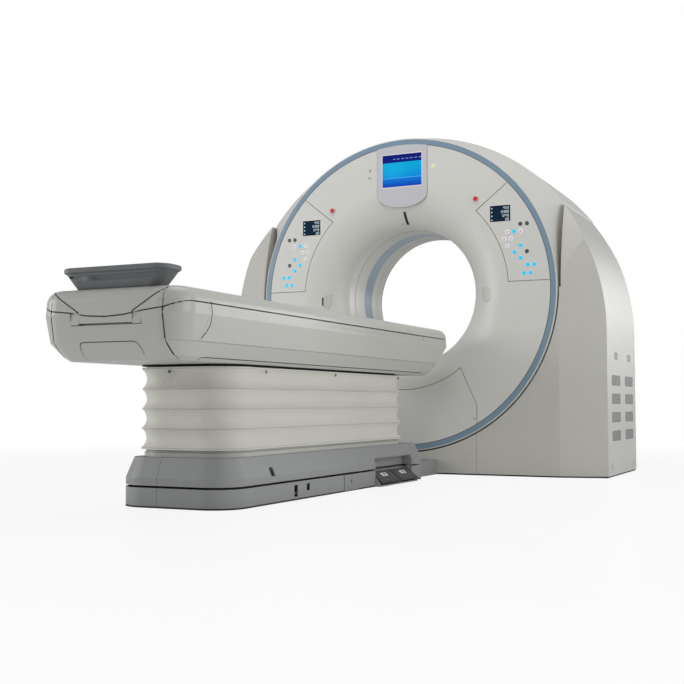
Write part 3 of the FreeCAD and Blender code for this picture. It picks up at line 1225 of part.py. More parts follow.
def make_pedal_housing():
    """Moulded bay for the pedals: floor, back, roof, two cheeks that hold the pin, low middle rib."""
    x_in, x_out = BAY_X + SEAT, PEDAL_OUT - 6
    y = (BAY_Y[0] + SEAT, BAY_Y[1] - SEAT)
    top = BAY_TOP - SEAT
    wall = BASE_HALF - 1
    head = wall - BASE_TOP_INSET * (BAY_TOP - BASE_KNEE_Z) / (BASE_TOP_Z - BASE_KNEE_Z)
    back = box((x_in, x_in + 4), y, (0, top))
    floor = box((x_in, x_out), y, (0, 5))
    lip = box((x_out - 6, x_out), y, (0, PEDAL_LIP))
    roof = box((x_in, head), y, (top - 4, top))
    cheek = [(x_in, 0), (x_out, 0), (x_out, PEDAL_LIP), (wall, PEDAL_PIN[1] - 12), (wall, BASE_KNEE_Z),
             (head, top), (x_in, top)]
    rib = [(x_in, 0), (x_out, 0), (x_out, PEDAL_LIP + 8), (PEDAL_PIN[0] + 12, PEDAL_PIN[1] + 6),
           (x_in, PEDAL_PIN[1] + 6)]
    walls = [polygon([(x, start, z) for x, z in outline]).extrude(V(0, 6, 0))
             for outline, start in ((cheek, y[0]), (rib, (y[0] + y[1]) / 2 - 3), (cheek, y[1] - 6))]
    pin = rod(PEDAL_PIN_R, (PEDAL_PIN[0], y[0] + 1, PEDAL_PIN[1]), (0, 1, 0), y[1] - y[0] - 2)
    seam = box((x_in + 1, 400), (y[0] + 3, y[1] - 3), (BASE_BAND_Z, BASE_BAND_Z + BASE_GAP))
    return fuse(back, floor, lip, roof, pin, *walls).cut(seam)


def make_pedal(head):
    """One treadle on the shared pin, sloping down and out."""
    mid = (BAY_Y[0] + BAY_Y[1]) / 2
    y = (mid + 5, BAY_Y[1] - 9) if head else (BAY_Y[0] + 9, mid - 5)
    x, z = PEDAL_PIN
    barrel = rod(PEDAL_PIN_R + 5, (x, y[0], z), (0, 1, 0), y[1] - y[0])
    out, drop = PEDAL_OUT, PEDAL_DROP
    face = polygon([
        (x, y[0], z + 9), (x + 12, y[0], z + 9), (out - 6, y[0], z - drop + PEDAL_T),
        (out, y[0], z - drop), (out - 8, y[0], z - drop - 3), (x + 6, y[0], z - 2),
    ])
    tread = face.extrude(V(0, y[1] - y[0], 0))
    hole = rod(PEDAL_PIN_R + SEAT, (x, y[0] - 1, z), (0, 1, 0), y[1] - y[0] + 2)
    return fuse(tread, barrel).cut(hole)


def make_key_plate():
    """Small service plate with a keyhole on the lower band."""
    plate = box((BASE_HALF, BASE_HALF + 3), KEY_PLATE_Y, (4, BASE_BAND_Z - 2))
    middle = (KEY_PLATE_Y[0] + KEY_PLATE_Y[1]) / 2
    key = rod(10, (BASE_HALF - 1, middle, 44), (1, 0, 0), 8)
    slot = box((BASE_HALF + 2, BASE_HALF + 10), (middle - 2, middle + 2), (38, 50))
    return fuse(plate, key.common(box((BASE_HALF, BASE_HALF + 8), (COUCH_FOOT_Y, 0), (0, 90)))).cut(slot)


# ---------------------------------------------------------------- bellows
def bellows_outline(z, out):
    """The bellows' plan outline, moved out from the valleys."""
    return rounded_outline(z, BELLOWS_HALF + out, (BELLOWS_Y[0] - out, BELLOWS_Y[1] + out),
                           (BELLOWS_R[0] + out, BELLOWS_R[1] + out))


def make_bellows():
    """Scallops between sharp outward folds, with a plain inside."""
    low, high = BELLOWS_Z
    pitch = (high - low) / BELLOWS_FOLDS
    steps = 5
    wires = []
    for i in range(BELLOWS_FOLDS * steps + 1):
        share = (i % steps) / steps
        out = BELLOWS_FOLD * (1 - math.sin(math.pi * share) ** 0.7)
        wires.append(bellows_outline(low + pitch * i / steps, out))
    inside = bellows_outline(low - 1, -BELLOWS_WALL)
    return stack(wires).cut(prism(inside, high - low + 2))


def make_lower_strip():
    """Stepped clamping frame under the bellows."""
    z = BASE_TOP_Z
    height = BELLOWS_Z[0] - z
    ring = prism(bellows_outline(z, 6.0), height / 2)
    step = prism(bellows_outline(z + height / 2, 1.0), height / 2)
    return fuse(ring, step).cut(prism(bellows_outline(z - 1, -BELLOWS_WALL - 12), height + 2))


# ---------------------------------------------------------------- all pieces
def build():
    os.makedirs("parts", exist_ok=True)
    pieces = {
        "floor_frame": make_floor_frame(),
        "trunnion_bearings": both(make_trunnion_bearing()),
        "tilt_drive": make_tilt_drive(),
        "stand_cover_right": make_stand_cover(),
        "stand_cover_left": mirrored(make_stand_cover()),
        "vent_grilles": both(make_vents()),
        "lower_front_cover": make_centre_cover(True),
        "lower_rear_cover": make_centre_cover(False),
        "cable_duct": make_cable_duct(),
        "tilt_frame": make_tilt_frame(),
        "drum_shell": make_drum_shell(),
        "front_cover": make_front_cover(),
        "service_cover": make_service_cover(),
        "rear_cover": make_rear_cover(),
        "front_ring": make_ring_trim(),
        "bore_liner": make_bore_liner(),
        "beam_window_band": make_beam_band(),
        "screen_surround": make_bezel(),
        "control_panel_right": make_control_panel(),
        "control_panel_left": mirrored(make_control_panel()),
        "displays": Part.makeCompound([make_screen(), both(make_readout())]),
        "panel_keys": both(make_keys()),
        "stop_button_right": make_stop_button(1),
        "stop_button_left": make_stop_button(-1),
        "lamp_windows": make_lamp_windows(),
        "main_bearing_outer": make_bearing_outer(),
        "drive_stator": make_stator(),
        "brush_block": make_brush_block(),
        "rotor_frame": make_rotor_frame(),
        "main_bearing_inner": make_bearing_inner(),
        "slip_ring": make_slip_ring(),
        "xray_tube": make_tube(),
        "collimator": make_collimator(),
        "detector_array": make_detector_array(),
        "high_voltage_generator": make_generator(),
        "tube_cooler": make_cooler(),
        "couch_shell": make_couch_shell(),
        "couch_corner_covers": make_corner_covers(),
        "couch_foot_cover": make_foot_cover(),
        "couch_foot_hatch": make_foot_hatch(),
        "couch_lid": make_lid(),
        "couch_lid_insert": make_lid_insert(),
        "couch_frame": make_couch_frame(),
        "tabletop_drive": make_table_drive(),
        "tabletop": make_tabletop(),
        "tabletop_carriage": make_carriage(),
        "tabletop_end_grip": make_end_grip(),
        "couch_base_band": make_base_band(),
        "couch_base_shroud": make_base_shroud(),
        "couch_base_plate": make_base_plate(),
        "lift_columns_outer": make_columns(0, (COLUMN_BASE_Z, COLUMN_OUTER_TOP)),
        "lift_columns_middle": make_columns(1, COLUMN_MIDDLE_Z),
        "lift_columns_inner": make_columns(2, (COLUMN_INNER_FOOT, DECK_Z[0])),
        "lift_power_pack": make_lift_pack(),
        "bellows": make_bellows(),
        "bellows_lower_strip": make_lower_strip(),
        "key_plate": make_key_plate(),
        "pedal_housing": make_pedal_housing(),
        "foot_pedal_head": make_pedal(True),
        "foot_pedal_foot": make_pedal(False),
    }
    for name, shape in pieces.items():
        save(name, shape)


build()
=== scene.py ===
import math

import bmesh
import bpy
import numpy as np
from bpy.props import FloatProperty, FloatVectorProperty, IntProperty, PointerProperty
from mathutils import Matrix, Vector
from mathutils.bvhtree import BVHTree


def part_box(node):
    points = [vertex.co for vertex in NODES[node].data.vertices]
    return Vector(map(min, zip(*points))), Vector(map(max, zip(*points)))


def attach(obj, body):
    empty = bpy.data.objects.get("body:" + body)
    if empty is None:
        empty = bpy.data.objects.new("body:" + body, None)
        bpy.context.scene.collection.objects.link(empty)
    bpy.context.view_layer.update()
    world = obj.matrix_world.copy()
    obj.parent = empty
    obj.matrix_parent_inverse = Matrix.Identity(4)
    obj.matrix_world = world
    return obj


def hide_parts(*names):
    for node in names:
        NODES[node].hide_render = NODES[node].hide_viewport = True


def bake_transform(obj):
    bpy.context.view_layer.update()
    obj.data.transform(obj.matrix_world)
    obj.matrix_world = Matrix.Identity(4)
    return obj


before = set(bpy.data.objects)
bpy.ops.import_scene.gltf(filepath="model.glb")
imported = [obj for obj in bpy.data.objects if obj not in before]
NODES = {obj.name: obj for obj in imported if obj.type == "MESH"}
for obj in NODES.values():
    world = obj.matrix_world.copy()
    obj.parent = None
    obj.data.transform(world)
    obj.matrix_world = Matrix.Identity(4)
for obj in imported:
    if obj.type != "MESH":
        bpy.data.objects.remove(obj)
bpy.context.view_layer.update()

bl_info = {
    "name": "Scanner and couch finish",
    "version": (1, 0, 0),
    "blender": (4, 5, 0),
    "location": "View3D > Sidebar > Scanner",
    "description": "Covers, displays, keys, bellows and studio of a gantry with its patient couch",
    "category": "Object",
}

ISO = 1.017                 # height of the bore axis
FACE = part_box("front_ring")[0].y
PANEL_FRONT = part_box("control_panel_right")[0].y
BORE_CENTRE = (0.0, 0.0, ISO)
BORE_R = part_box("bore_liner")[1].z - ISO - 0.004    # inner radius of the bore
FLARE = (0.230, 0.160)      # radial and axial reach of the front cover's flare
RING_INNER = 0.857
PANEL_CORNERS = ((0.616, 1.600), (0.434, 1.454))    # head edge of a panel, from the ring inwards
PANEL_FOOT, PANEL_ARC = 1.057, 0.624                # height of its foot edge, radius of its inner edge
SERVICE_CORNERS = ((0.345, 0.590), (0.439, 0.385))
SERVICE_ARC = 0.545

KEYS = (
    (0.693, 1.369, "dark"), (0.730, 1.369, "dark"), (0.620, 1.330, "pale"), (0.657, 1.330, "lit"),
    (0.694, 1.330, "pale"), (0.602, 1.291, "pale"), (0.639, 1.291, "pale"), (0.620, 1.251, "pale"),
    (0.693, 1.251, "lit"), (0.659, 1.217, "lit"), (0.728, 1.217, "dark"), (0.693, 1.183, "lit"),
    (0.732, 1.144, "lit"), (0.768, 1.144, "lit"), (0.712, 1.098, "lit"), (0.747, 1.098, "lit"),
)
READOUT_AT, READOUT_HALF = (0.580, 1.434), (0.0585, 0.045)
READOUT_ROWS = ("450", "0380", "1240", "00")
STOP_AT, LAMP_AT = (0.441, 1.526), (0.189, 1.734)
SCREEN_HALF, SCREEN_Z = 0.121, (1.634, 1.821)
TREAD = ((0.234, 0.065), (0.288, 0.023))            # X and Z of a pedal's upper and lower edge
BAY_JOINT = (0.079, 0.0045, 0.226)                  # middle and half height of the painted shade in the joint, and its reach in X
FOOT_SEAMS = (                                      # joints of the foot end, right half: X and Z
    ((0.113, 0.706), (0.251, 0.790)),
    ((0.0, 0.691), (0.075, 0.695), (0.151, 0.707), (0.236, 0.716), (0.300, 0.739)),
    ((0.236, 0.716), (0.236, 0.546)),
)
FOOT_LINES = (
    ((0.0, 0.6045), (0.106, 0.6045), (0.118, 0.601), (0.126, 0.591), (0.129, 0.578), (0.129, 0.546)),
    ((0.236, 0.716), (0.236, 0.776)),
)
SIDE_SEAMS = (                                      # joints of the couch's side: Y and Z
    ((-2.9062, 0.7470), (-2.8980, 0.7025), (-2.9030, 0.6660), (-2.9240, 0.6380), (-2.9620, 0.6080)),
)
SIDE_LINES = (
    ((-2.8890, 0.5450), (-2.8780, 0.5520), (-2.8600, 0.5545), (-0.7600, 0.5545)),
)
CHEEK_X, CHEEK_Z = (0.114, 0.149), (0.6640, 0.704)  # blank ends of the pull recess
CLOTH_SCREWS = ((-2.379, 0.516), (-1.751, 0.518), (-1.026, 0.519))
STAND_PLAN = ((0.890, -0.388), (1.130, -0.320), (1.130, 0.462), (0.890, 0.496))     # right half
BASE_SEAM_X = -0.055        # drawn joint in the base's foot end
BASE_HALF, BASE_ENDS = 0.258, (-2.705, -0.760)      # plan of the couch's base
BASE_CORNERS = (0.125, 0.030)                       # its corner radii at the foot and head ends
DIMPLE_AT, DIMPLE_HALF = (0.4915, 0.9940), (0.0255, 0.042)   # covers in the flare beside the bore
LEFT_SLOT = (-0.5145, 0.0035)                       # X and half width of the left cover's slot
FOOT_SCREW = (-0.040, -2.655, 0.514)
FACE_CAPS = ((0.425, 0.311), (-0.031, 1.432))       # caps over the front face's screws
JOINT_HALF = 0.0013                                 # half width of a joint drawn in the paint
PEEL, GRAIN = 0.00006, 0.00018                      # depths of orange peel and of leather grain
PLAN_STEPS = (16, 24)                               # points of a rounded plan's corner and side
DISC, WHEEL = 20, 256                               # sides of a small cap and of the ring's turnings
SEAL_PROUD, SEAL_SUNK, SEAL_PITCH = 0.0004, 0.001, 0.012    # a seal's top and foot, and its steps


# ---------------------------------------------------------------- sizes and colours
def rgb(red, green, blue):
    """Display values from 0 to 255 as linear colour."""
    value = np.array([red, green, blue]) / 255
    low, high = value / 12.92, ((value + 0.055) / 1.055) ** 2.4
    return tuple(float(v) for v in np.where(value <= 0.04045, low, high))


def tint(name, shade, note):
    return FloatVectorProperty(name=name, description=note, subtype="COLOR", size=3, min=0, max=1,
                               default=rgb(*shade))


def length(name, metres, note):
    return FloatProperty(name=name, description=note, subtype="DISTANCE", unit="LENGTH",
                         min=0, precision=4, default=metres)


class ScannerColours(bpy.types.PropertyGroup):
    cover: tint("Drum covers", (203, 202, 197), "Moulded covers that tilt")
    stand: tint("Stand covers", (186, 184, 178), "Fixed covers beside and under the drum")
    couch: tint("Couch covers", (190, 189, 183), "Body and lid of the couch")
    base: tint("Base", (150, 151, 151), "Couch base and its band")
    ring: tint("Ring", (119, 140, 157), "Ring round the front face")
    band: tint("Beam window", (150, 165, 180), "Band in the bore that the beam passes")
    bezel: tint("Screen surround", (188, 188, 192), "Moulding round the screen")
    grip: tint("End grip", (108, 111, 113), "Grip at the foot end of the tabletop")
    top: tint("Tabletop", (222, 221, 214), "Carbon tabletop's painted skin")
    bellows: tint("Bellows", (212, 210, 201), "Coated cloth round the lift")
    rubber: tint("Rubber", (82, 81, 81), "Pads of the pedals")
    seal: tint("Seals", (96, 85, 76), "Dark lines in the joints between covers")
    key: tint("Lit keys", (18, 206, 250), "Keys that are lit")
    pale_key: tint("Pale keys", (232, 228, 236), "Keys that are not lit")
    dark_key: tint("Dark keys", (66, 70, 72), "Dark keys")
    stop: tint("Stop buttons", (196, 26, 30), "Emergency stops")
    display: tint("Displays", (14, 30, 44), "Glass of the position displays")
    steel: tint("Painted steel", (104, 109, 113), "Frames inside the covers")
    metal: tint("Machined metal", (176, 178, 180), "Bearings, castings and columns")


class ScannerSizes(bpy.types.PropertyGroup):
    folds: IntProperty(name="Folds", description="Folds of the bellows", default=4, min=1, max=12)
    fold_depth: length("Fold depth", 0.019, "How far each fold stands out")
    cloth_sag: length("Cloth sag", 0.0022, "Slack of the cloth between the corners")
    edge: length("Edge radius", 0.0025, "Rounding that shows on moulded edges")
    key_radius: length("Key radius", 0.0115, "Radius of a panel key")
    key_dome: length("Key dome", 0.0009, "Crown of a key")
    halo: length("Key ring", 0.0022, "Width of the pale ring round a key")
    trim: length("Ring trim", 0.0055, "Width of the bevelled trim outside the ring")
    seam: length("Seal width", 0.0034, "Width of the dark seals in the front face's joints")
    slat_pitch: length("Louvre pitch", 0.0075, "Spacing of the louvres in a vent")
    cap: length("Cap radius", 0.0065, "Radius of the caps over the bellows' screws")
    rib_pitch: length("Rib pitch", 0.0055, "Spacing of the ribs on a pedal")


class ScannerStage(bpy.types.PropertyGroup):
    eye: FloatVectorProperty(name="Camera", description="Place of the camera", subtype="TRANSLATION",
                             unit="LENGTH", size=3, default=(2.335, -6.109, 0.391))
    yaw: FloatProperty(name="Yaw", description="Turn to the left from the bore's axis",
                       subtype="ANGLE", unit="ROTATION", default=math.radians(25.44))
    pitch: FloatProperty(name="Pitch", description="Tilt above the horizon", subtype="ANGLE",
                         unit="ROTATION", default=math.radians(3.26))
    lens: FloatProperty(name="Lens", description="Focal length on a 36 mm sensor", unit="CAMERA",
                        default=57.17, min=10)
    key: FloatProperty(name="Key light", description="Power of the key light", unit="POWER",
                       default=62, min=0)
    fill: FloatProperty(name="Fill light", description="Power of the fill light", unit="POWER",
                        default=70, min=0)
    sky: FloatProperty(name="Sky", description="Strength of the light from all round",
                       subtype="FACTOR", default=0.42, min=0, max=2)


def colours():
    return bpy.context.scene.scanner_colours


def sizes():
    return bpy.context.scene.scanner_sizes


# ---------------------------------------------------------------- shader arithmetic
class Value:
    """A socket of a shader tree. An expression on it adds the Math nodes that work it out."""

    def __init__(self, paint, socket):
        self.paint, self.socket = paint, socket

    def math(self, operation, *others):
        return self.paint.math(operation, self, *others)

    def __add__(self, other):
        return self.math("ADD", other)

    def __sub__(self, other):
        return self.math("SUBTRACT", other)

    def __rsub__(self, other):
        return self.paint.math("SUBTRACT", other, self)

    def __mul__(self, other):
        return self.math("MULTIPLY", other)

    def __truediv__(self, other):
        return self.math("DIVIDE", other)

    def __pow__(self, other):
        return self.math("POWER", other)

    def __lt__(self, other):
        return self.math("LESS_THAN", other)

    def __gt__(self, other):
        return self.math("GREATER_THAN", other)

    def __abs__(self):
        return self.math("ABSOLUTE")

    def sine(self):
        return self.math("SINE")

    def fraction(self):
        return self.math("FRACT")

    def ramp(self, low, high):
        """0 below low, 1 above high and a smooth rise between them."""
        return self.paint.add("MapRange", {"interpolation_type": "SMOOTHSTEP"},
                              {0: self, 1: low, 2: high})


class Paint:
    """A material with one Principled surface and the nodes that vary it."""

    def __init__(self, name, **fixed):
        self.material = bpy.data.materials.new(name)
        self.material.use_nodes = True
        self.tree = self.material.node_tree
        self.surface = self.tree.nodes["Principled BSDF"]
        for socket, value in fixed.items():
            self.surface.inputs[socket.replace("_", " ")].default_value = value
        self.normal = None

    def add(self, kind, settings, inputs, output=0):
        """Adds a shader node: its settings first, then the value or link of each socket."""
        node = self.tree.nodes.new("ShaderNode" + kind)
        for name, value in settings.items():
            setattr(node, name, value)
        for socket, value in inputs.items():
            self.plug(node.inputs[socket], value)
        return Value(self, node.outputs[output])

    def math(self, operation, *terms):
        return self.add("Math", {"operation": operation}, dict(enumerate(terms)))

    def plug(self, socket, value):
        if isinstance(value, Value):
            self.tree.links.new(value.socket, socket)
        elif isinstance(value, tuple) and len(value) == 3 and socket.type == "RGBA":
            socket.default_value = (*value, 1.0)
        else:
            socket.default_value = value

    def set(self, **links):
        """Links or sets the surface's own sockets."""
        for socket, value in links.items():
            self.plug(self.surface.inputs[socket.replace("_", " ")], value)
        return self

    def place(self):
        return self.add("TexCoord", {}, {}, "Object")

    def axes(self):
        spot = self.place()
        return [self.add("SeparateXYZ", {}, {0: spot}, axis) for axis in range(3)]

    def noise(self, scale, detail=2.0, stretch=(1.0, 1.0, 1.0)):
        spot = self.add("Mapping", {}, {"Vector": self.place(), "Scale": stretch})
        return self.add("TexNoise", {}, {"Vector": spot, "Scale": scale, "Detail": detail})

    def mix(self, share, first, second):
        return self.add("Mix", {"data_type": "RGBA"}, {0: share, 6: first, 7: second}, 2)

    def crevice_shade(self, reach=0.005):
        """Painted shade: 1 deep in a joint or groove narrower than the reach, 0 on open faces, from ambient
        occlusion.
        """
        sky = self.add("AmbientOcclusion", {"samples": 6}, {"Distance": reach}, "AO")
        return 1 - sky.ramp(0.12, 0.5)

    def bump(self, height, depth, strength):
        """Lays one more relief, depth metres deep, over the reliefs before it."""
        inputs = {"Height": height, "Distance": depth, "Strength": strength}
        if self.normal:
            inputs["Normal"] = self.normal
        self.normal = self.add("Bump", {}, inputs)
        return self

    def round_edges(self, radius):
        self.normal = self.add("Bevel", {"samples": 4}, {"Radius": radius})
        return self

    def done(self):
        if self.normal:
            self.set(Normal=self.normal)
        return self.material


def shade(colour, factor):
    """A colour made lighter or darker in plain Python."""
    return tuple(min(1.0, float(c) * factor) for c in colour)


# ---------------------------------------------------------------- finishes
def moulded(name, colour, roughness=0.36, spread=0.04, joint=None):
    """Satin moulding: slow drift of the tone, fine orange peel, soft edges, painted shade in joints and
    grooves, drawn dark joints, darker towards the floor. A joint is a pair of drawn seams: how far they
    lie to either side of the middle, and the Y at which they end."""
    paint = Paint(name, IOR=1.47)
    paint.round_edges(sizes().edge)
    east, north, height = paint.axes()
    drift = paint.noise(1.3, 3.0)
    tone = paint.mix(drift, shade(colour, 1 - spread), shade(colour, 1 + spread))
    speck = paint.noise(420.0, 1.0)
    tone = paint.mix((speck - 0.5) * 0.4, tone, shade(colour, 0.8))
    # darker towards the floor, within 0.16 m of it
    toward_floor = 1 - height.ramp(0.0, 0.16)
    tone = paint.mix(toward_floor * 0.12, tone, shade(colour, 0.72))
    # painted shade: joints and grooves darkened toward dark brown by ambient occlusion
    tone = paint.mix(paint.crevice_shade() * 0.9, tone, rgb(40, 32, 27))
    if joint:
        half, foot = joint
        line = (abs(abs(east) - half) < JOINT_HALF) * (north < foot)
        tone = paint.mix(line * 0.75, tone, colours().seal[:])
    paint.bump(paint.noise(950.0, 2.0), PEEL, 0.35)
    return paint.set(Base_Color=tone, Roughness=paint.noise(14.0, 3.0) * 0.1 + (roughness - 0.05)).done()


def grained(name, colour, roughness, pitch=900.0, joint=None):
    """Fine leather grain: pebbles of a cell pattern over a broad unevenness, painted shade in its crevices,
    dark joints. A joint is the Y at which a seam drawn near the middle ends."""
    paint = Paint(name)
    paint.round_edges(sizes().edge)
    cells = paint.add("TexVoronoi", {"feature": "SMOOTH_F1"},
                      {"Vector": paint.place(), "Scale": pitch, "Smoothness": 0.7})
    drift = paint.noise(2.1, 3.0)
    tone = paint.mix(drift, shade(colour, 0.94), shade(colour, 1.04))
    tone = paint.mix(cells * 0.3, tone, shade(colour, 0.82))
    east, north, up = paint.axes()
    low = 1 - up.ramp(0.0, 0.05)
    tone = paint.mix(low * 0.25, tone, shade(colour, 0.6))
    # painted shade: crevices darkened toward near black by ambient occlusion
    tone = paint.mix(paint.crevice_shade() * 0.9, tone, rgb(22, 20, 19))
    if joint:
        line = (abs(east - BASE_SEAM_X) < JOINT_HALF) * (north < joint)
        tone = paint.mix(line * 0.7, tone, shade(colour, 0.3))
    paint.bump(cells, GRAIN, 0.6)
    return paint.set(Base_Color=tone, Roughness=paint.noise(30.0) * 0.16 + (roughness - 0.08)).done()


def brushed(name, colour, roughness, metallic=1.0, stretch=(60.0, 60.0, 2.0)):
    """Metal with fine marks along one axis."""
    paint = Paint(name)
    marks = paint.noise(18.0, 4.0, stretch)
    paint.bump(marks, 0.00008, 0.5)
    tone = paint.mix(marks, shade(colour, 0.82), shade(colour, 1.1))
    return paint.set(Base_Color=tone, Metallic=metallic,
                     Roughness=marks * 0.2 + (roughness - 0.1)).done()


def painted(name, colour, roughness=0.5):
    """Powder coat: soft pebbles and slightly worn tone."""
    paint = Paint(name)
    paint.round_edges(sizes().edge)
    pebbles = paint.noise(520.0, 2.0)
    paint.bump(pebbles, 0.00015, 0.5)
    tone = paint.mix(paint.noise(5.0, 4.0), shade(colour, 0.86), shade(colour, 1.12))
    return paint.set(Base_Color=tone, Roughness=pebbles * 0.2 + (roughness - 0.1)).done()


def wound(name, colour):
    """Varnished winding: narrow bands round the axis, at a steady radius step."""
    paint = Paint(name, Coat_Weight=0.5, Coat_Roughness=0.15)
    east, _, up = paint.axes()
    reach = (east * east + (up - ISO) * (up - ISO)) ** 0.5
    bands = (reach * 900.0).sine()
    paint.bump(bands, 0.0004, 0.8)
    tone = paint.mix(bands * 0.5 + 0.5, shade(colour, 0.55), shade(colour, 1.1))
    return paint.set(Base_Color=tone, Metallic=0.85, Roughness=paint.noise(40.0) * 0.2 + 0.25).done()


def ribbed_rubber(name, colour):
    """Rubber with straight ribs across the pedal and a dry bloom."""
    paint = Paint(name)
    bloom = paint.noise(60.0, 4.0)
    paint.bump(paint.noise(900.0, 2.0), 0.0002, 0.5)
    tone = paint.mix(bloom, shade(colour, 0.8), shade(colour, 1.25))
    return paint.set(Base_Color=tone, Roughness=bloom * 0.2 + 0.55).done()


def coated_cloth(name, colour, foot, pitch):
    """Coated cloth: a fine weave along the piece's own map, creases with painted shade in their hollows, and
    a painted shadow line at each fold, the folds repeating by the pitch from the foot, with painted shade
    where they close in."""
    paint = Paint(name, Sheen_Weight=0.15, Sheen_Roughness=0.4)
    own = paint.add("TexCoord", {}, {}, "UV")
    along = paint.add("SeparateXYZ", {}, {0: own}, 0)
    up = paint.add("SeparateXYZ", {}, {0: own}, 1)
    weave = (along * 4200.0).sine() * (up * 4200.0).sine()
    crease = paint.noise(7.0, 5.0, (1.0, 0.5, 3.0))
    paint.bump(crease, 0.008, 0.3)
    paint.bump(weave, 0.0001, 0.5)
    drift = paint.noise(3.0, 4.0)
    tone = paint.mix(drift, shade(colour, 0.94), shade(colour, 1.04))
    # painted shade in the hollows of the creases
    tone = paint.mix((1 - crease.ramp(0.35, 0.5)) * 0.1, tone, shade(colour, 0.8))
    # painted shadow: a dark line at each fold, where the ridge shades the cloth below it
    fold = abs(((up - foot) * (1 / pitch) + 0.5).fraction() - 0.5)
    tone = paint.mix((1 - fold.ramp(0.006, 0.04)) * 0.55, tone, shade(colour, 0.55))
    # painted shade where the folds close in, by ambient occlusion
    tone = paint.mix(paint.crevice_shade(0.012) * 0.45, tone, rgb(96, 88, 74))
    return paint.set(Base_Color=tone, Roughness=drift * 0.2 + 0.5).done()


def glossy(name, colour, roughness, glow=0.0):
    """Small coloured moulding, slightly uneven. Where it glows, its own light gives that share of its
    colour and the paint the rest, so that it never washes out."""
    paint = Paint(name, Coat_Weight=0.3 * (1 - glow), Coat_Roughness=0.1, Emission_Strength=glow)
    drift = paint.noise(220.0, 2.0)
    paint.bump(drift, 0.00003, 0.4)
    light = paint.mix(drift, shade(colour, 0.93), shade(colour, 1.05))
    tone = paint.mix(drift, shade(colour, 0.93 * (1.02 - glow)), shade(colour, 1.05 * (1.02 - glow)))
    return paint.set(Base_Color=tone, Emission_Color=light, Roughness=drift * 0.1 + roughness).done()


def screen_glass():
    """The lit picture: navy head with ticks, cyan field with a soft glow, pale line, deeper foot."""
    paint = Paint("screen_picture", Emission_Strength=0.97, Specular_IOR_Level=0.05)
    east, _, up = paint.axes()
    across = (east + SCREEN_HALF) / (2 * SCREEN_HALF)
    rise = (up - SCREEN_Z[0]) / (SCREEN_Z[1] - SCREEN_Z[0])
    field = paint.mix(rise.ramp(0.25, 0.8), rgb(8, 138, 220), rgb(2, 170, 218))
    glow = 1 - (abs(across - 0.3) + abs(rise - 0.48)).ramp(0.0, 0.7)
    field = paint.mix(glow * 0.35, field, rgb(30, 196, 234))
    foot = paint.mix(rise.ramp(0.0, 0.26), rgb(8, 70, 186), rgb(14, 116, 214))
    field = paint.mix(rise < 0.27, field, foot)
    line = abs(rise - 0.27) < 0.006
    field = paint.mix(line * 0.6, field, rgb(120, 220, 246))
    head = rise > 0.755
    field = paint.mix(head, field, rgb(12, 26, 118))
    beat = (across * 9.0).fraction()
    tick = (abs(rise - 0.86) < 0.012) * (across > 0.28) * (beat > 0.35)
    field = paint.mix(tick * 0.7, field, rgb(150, 178, 226))
    dots = (abs(rise - 0.09) < 0.016) * ((abs(across - 0.09) < 0.02) + (abs(across - 0.69) < 0.03))
    field = paint.mix(dots * 0.6, field, rgb(14, 30, 70))
    lit = up > 1.6
    glass = paint.mix(paint.noise(40.0), shade(colours().display, 0.9), shade(colours().display, 1.2))
    light = paint.mix(lit, shade(colours().display, 0.6), field)
    return paint.set(Base_Color=paint.mix(lit, glass, rgb(10, 12, 16)), Emission_Color=light,
                     Roughness=paint.noise(60.0) * 0.06 + 0.14).done()


def lamp_glass():
    """The status lamp is pale green, the slots beside the bore are pale and the others are black."""
    paint = Paint("lamp_and_slots", Emission_Strength=0.9)
    east, _, up = paint.axes()
    lit = (abs(east - LAMP_AT[0]) < 0.02) * (abs(up - LAMP_AT[1]) < 0.02)
    near = ((east - LAMP_AT[0]) ** 2.0 + (up - LAMP_AT[1]) ** 2.0) ** 0.5
    green = paint.mix(near.ramp(0.002, 0.010), rgb(226, 244, 196), rgb(196, 226, 168))
    black = paint.mix(paint.noise(90.0), rgb(10, 10, 11), rgb(24, 22, 21))
    slot = paint.mix(abs(east) > 0.4, black, rgb(190, 191, 185))
    return paint.set(Base_Color=paint.mix(lit, slot, rgb(40, 50, 34)),
                     Emission_Color=paint.mix(lit, (0.0, 0.0, 0.0), green), Roughness=0.3).done()


# ---------------------------------------------------------------- surfaces from arrays
def grid_faces(rows, columns, wrap=False):
    """Quads between neighbouring points of a grid; a wrapped grid joins its last column to its first."""
    row = np.arange(rows - 1)[:, None]
    column = np.arange(columns if wrap else columns - 1)[None]
    after = (column + 1) % columns
    quads = [row * columns + column, row * columns + after,
             (row + 1) * columns + after, (row + 1) * columns + column]
    return np.stack(np.broadcast_arrays(*quads), -1).reshape(-1, 4)


def piece(name, points, faces, material, body, slot, smooth=True, chart=None):
    """Puts arrays into a mesh, merges doubles, turns the faces outwards and sets it on its body."""
    mesh = bpy.data.meshes.new(name)
    mesh.from_pydata(points.tolist(), [], faces.tolist())
    if chart is not None:
        corners = np.zeros(len(mesh.loops), int)
        mesh.loops.foreach_get("vertex_index", corners)
        mesh.uv_layers.new(name="own").data.foreach_set("uv", chart[corners].ravel())
    work = bmesh.new()
    work.from_mesh(mesh)
    bmesh.ops.remove_doubles(work, verts=work.verts, dist=1e-6)
    bmesh.ops.recalc_face_normals(work, faces=work.faces)
    work.to_mesh(mesh)
    work.free()
    mesh.polygons.foreach_set("use_smooth", [smooth] * len(mesh.polygons))
    mesh.materials.append(material)
    made = bpy.data.objects.new(name, mesh)
    bpy.context.scene.collection.objects.link(made)
    if body:
        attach(made, body)
    return made


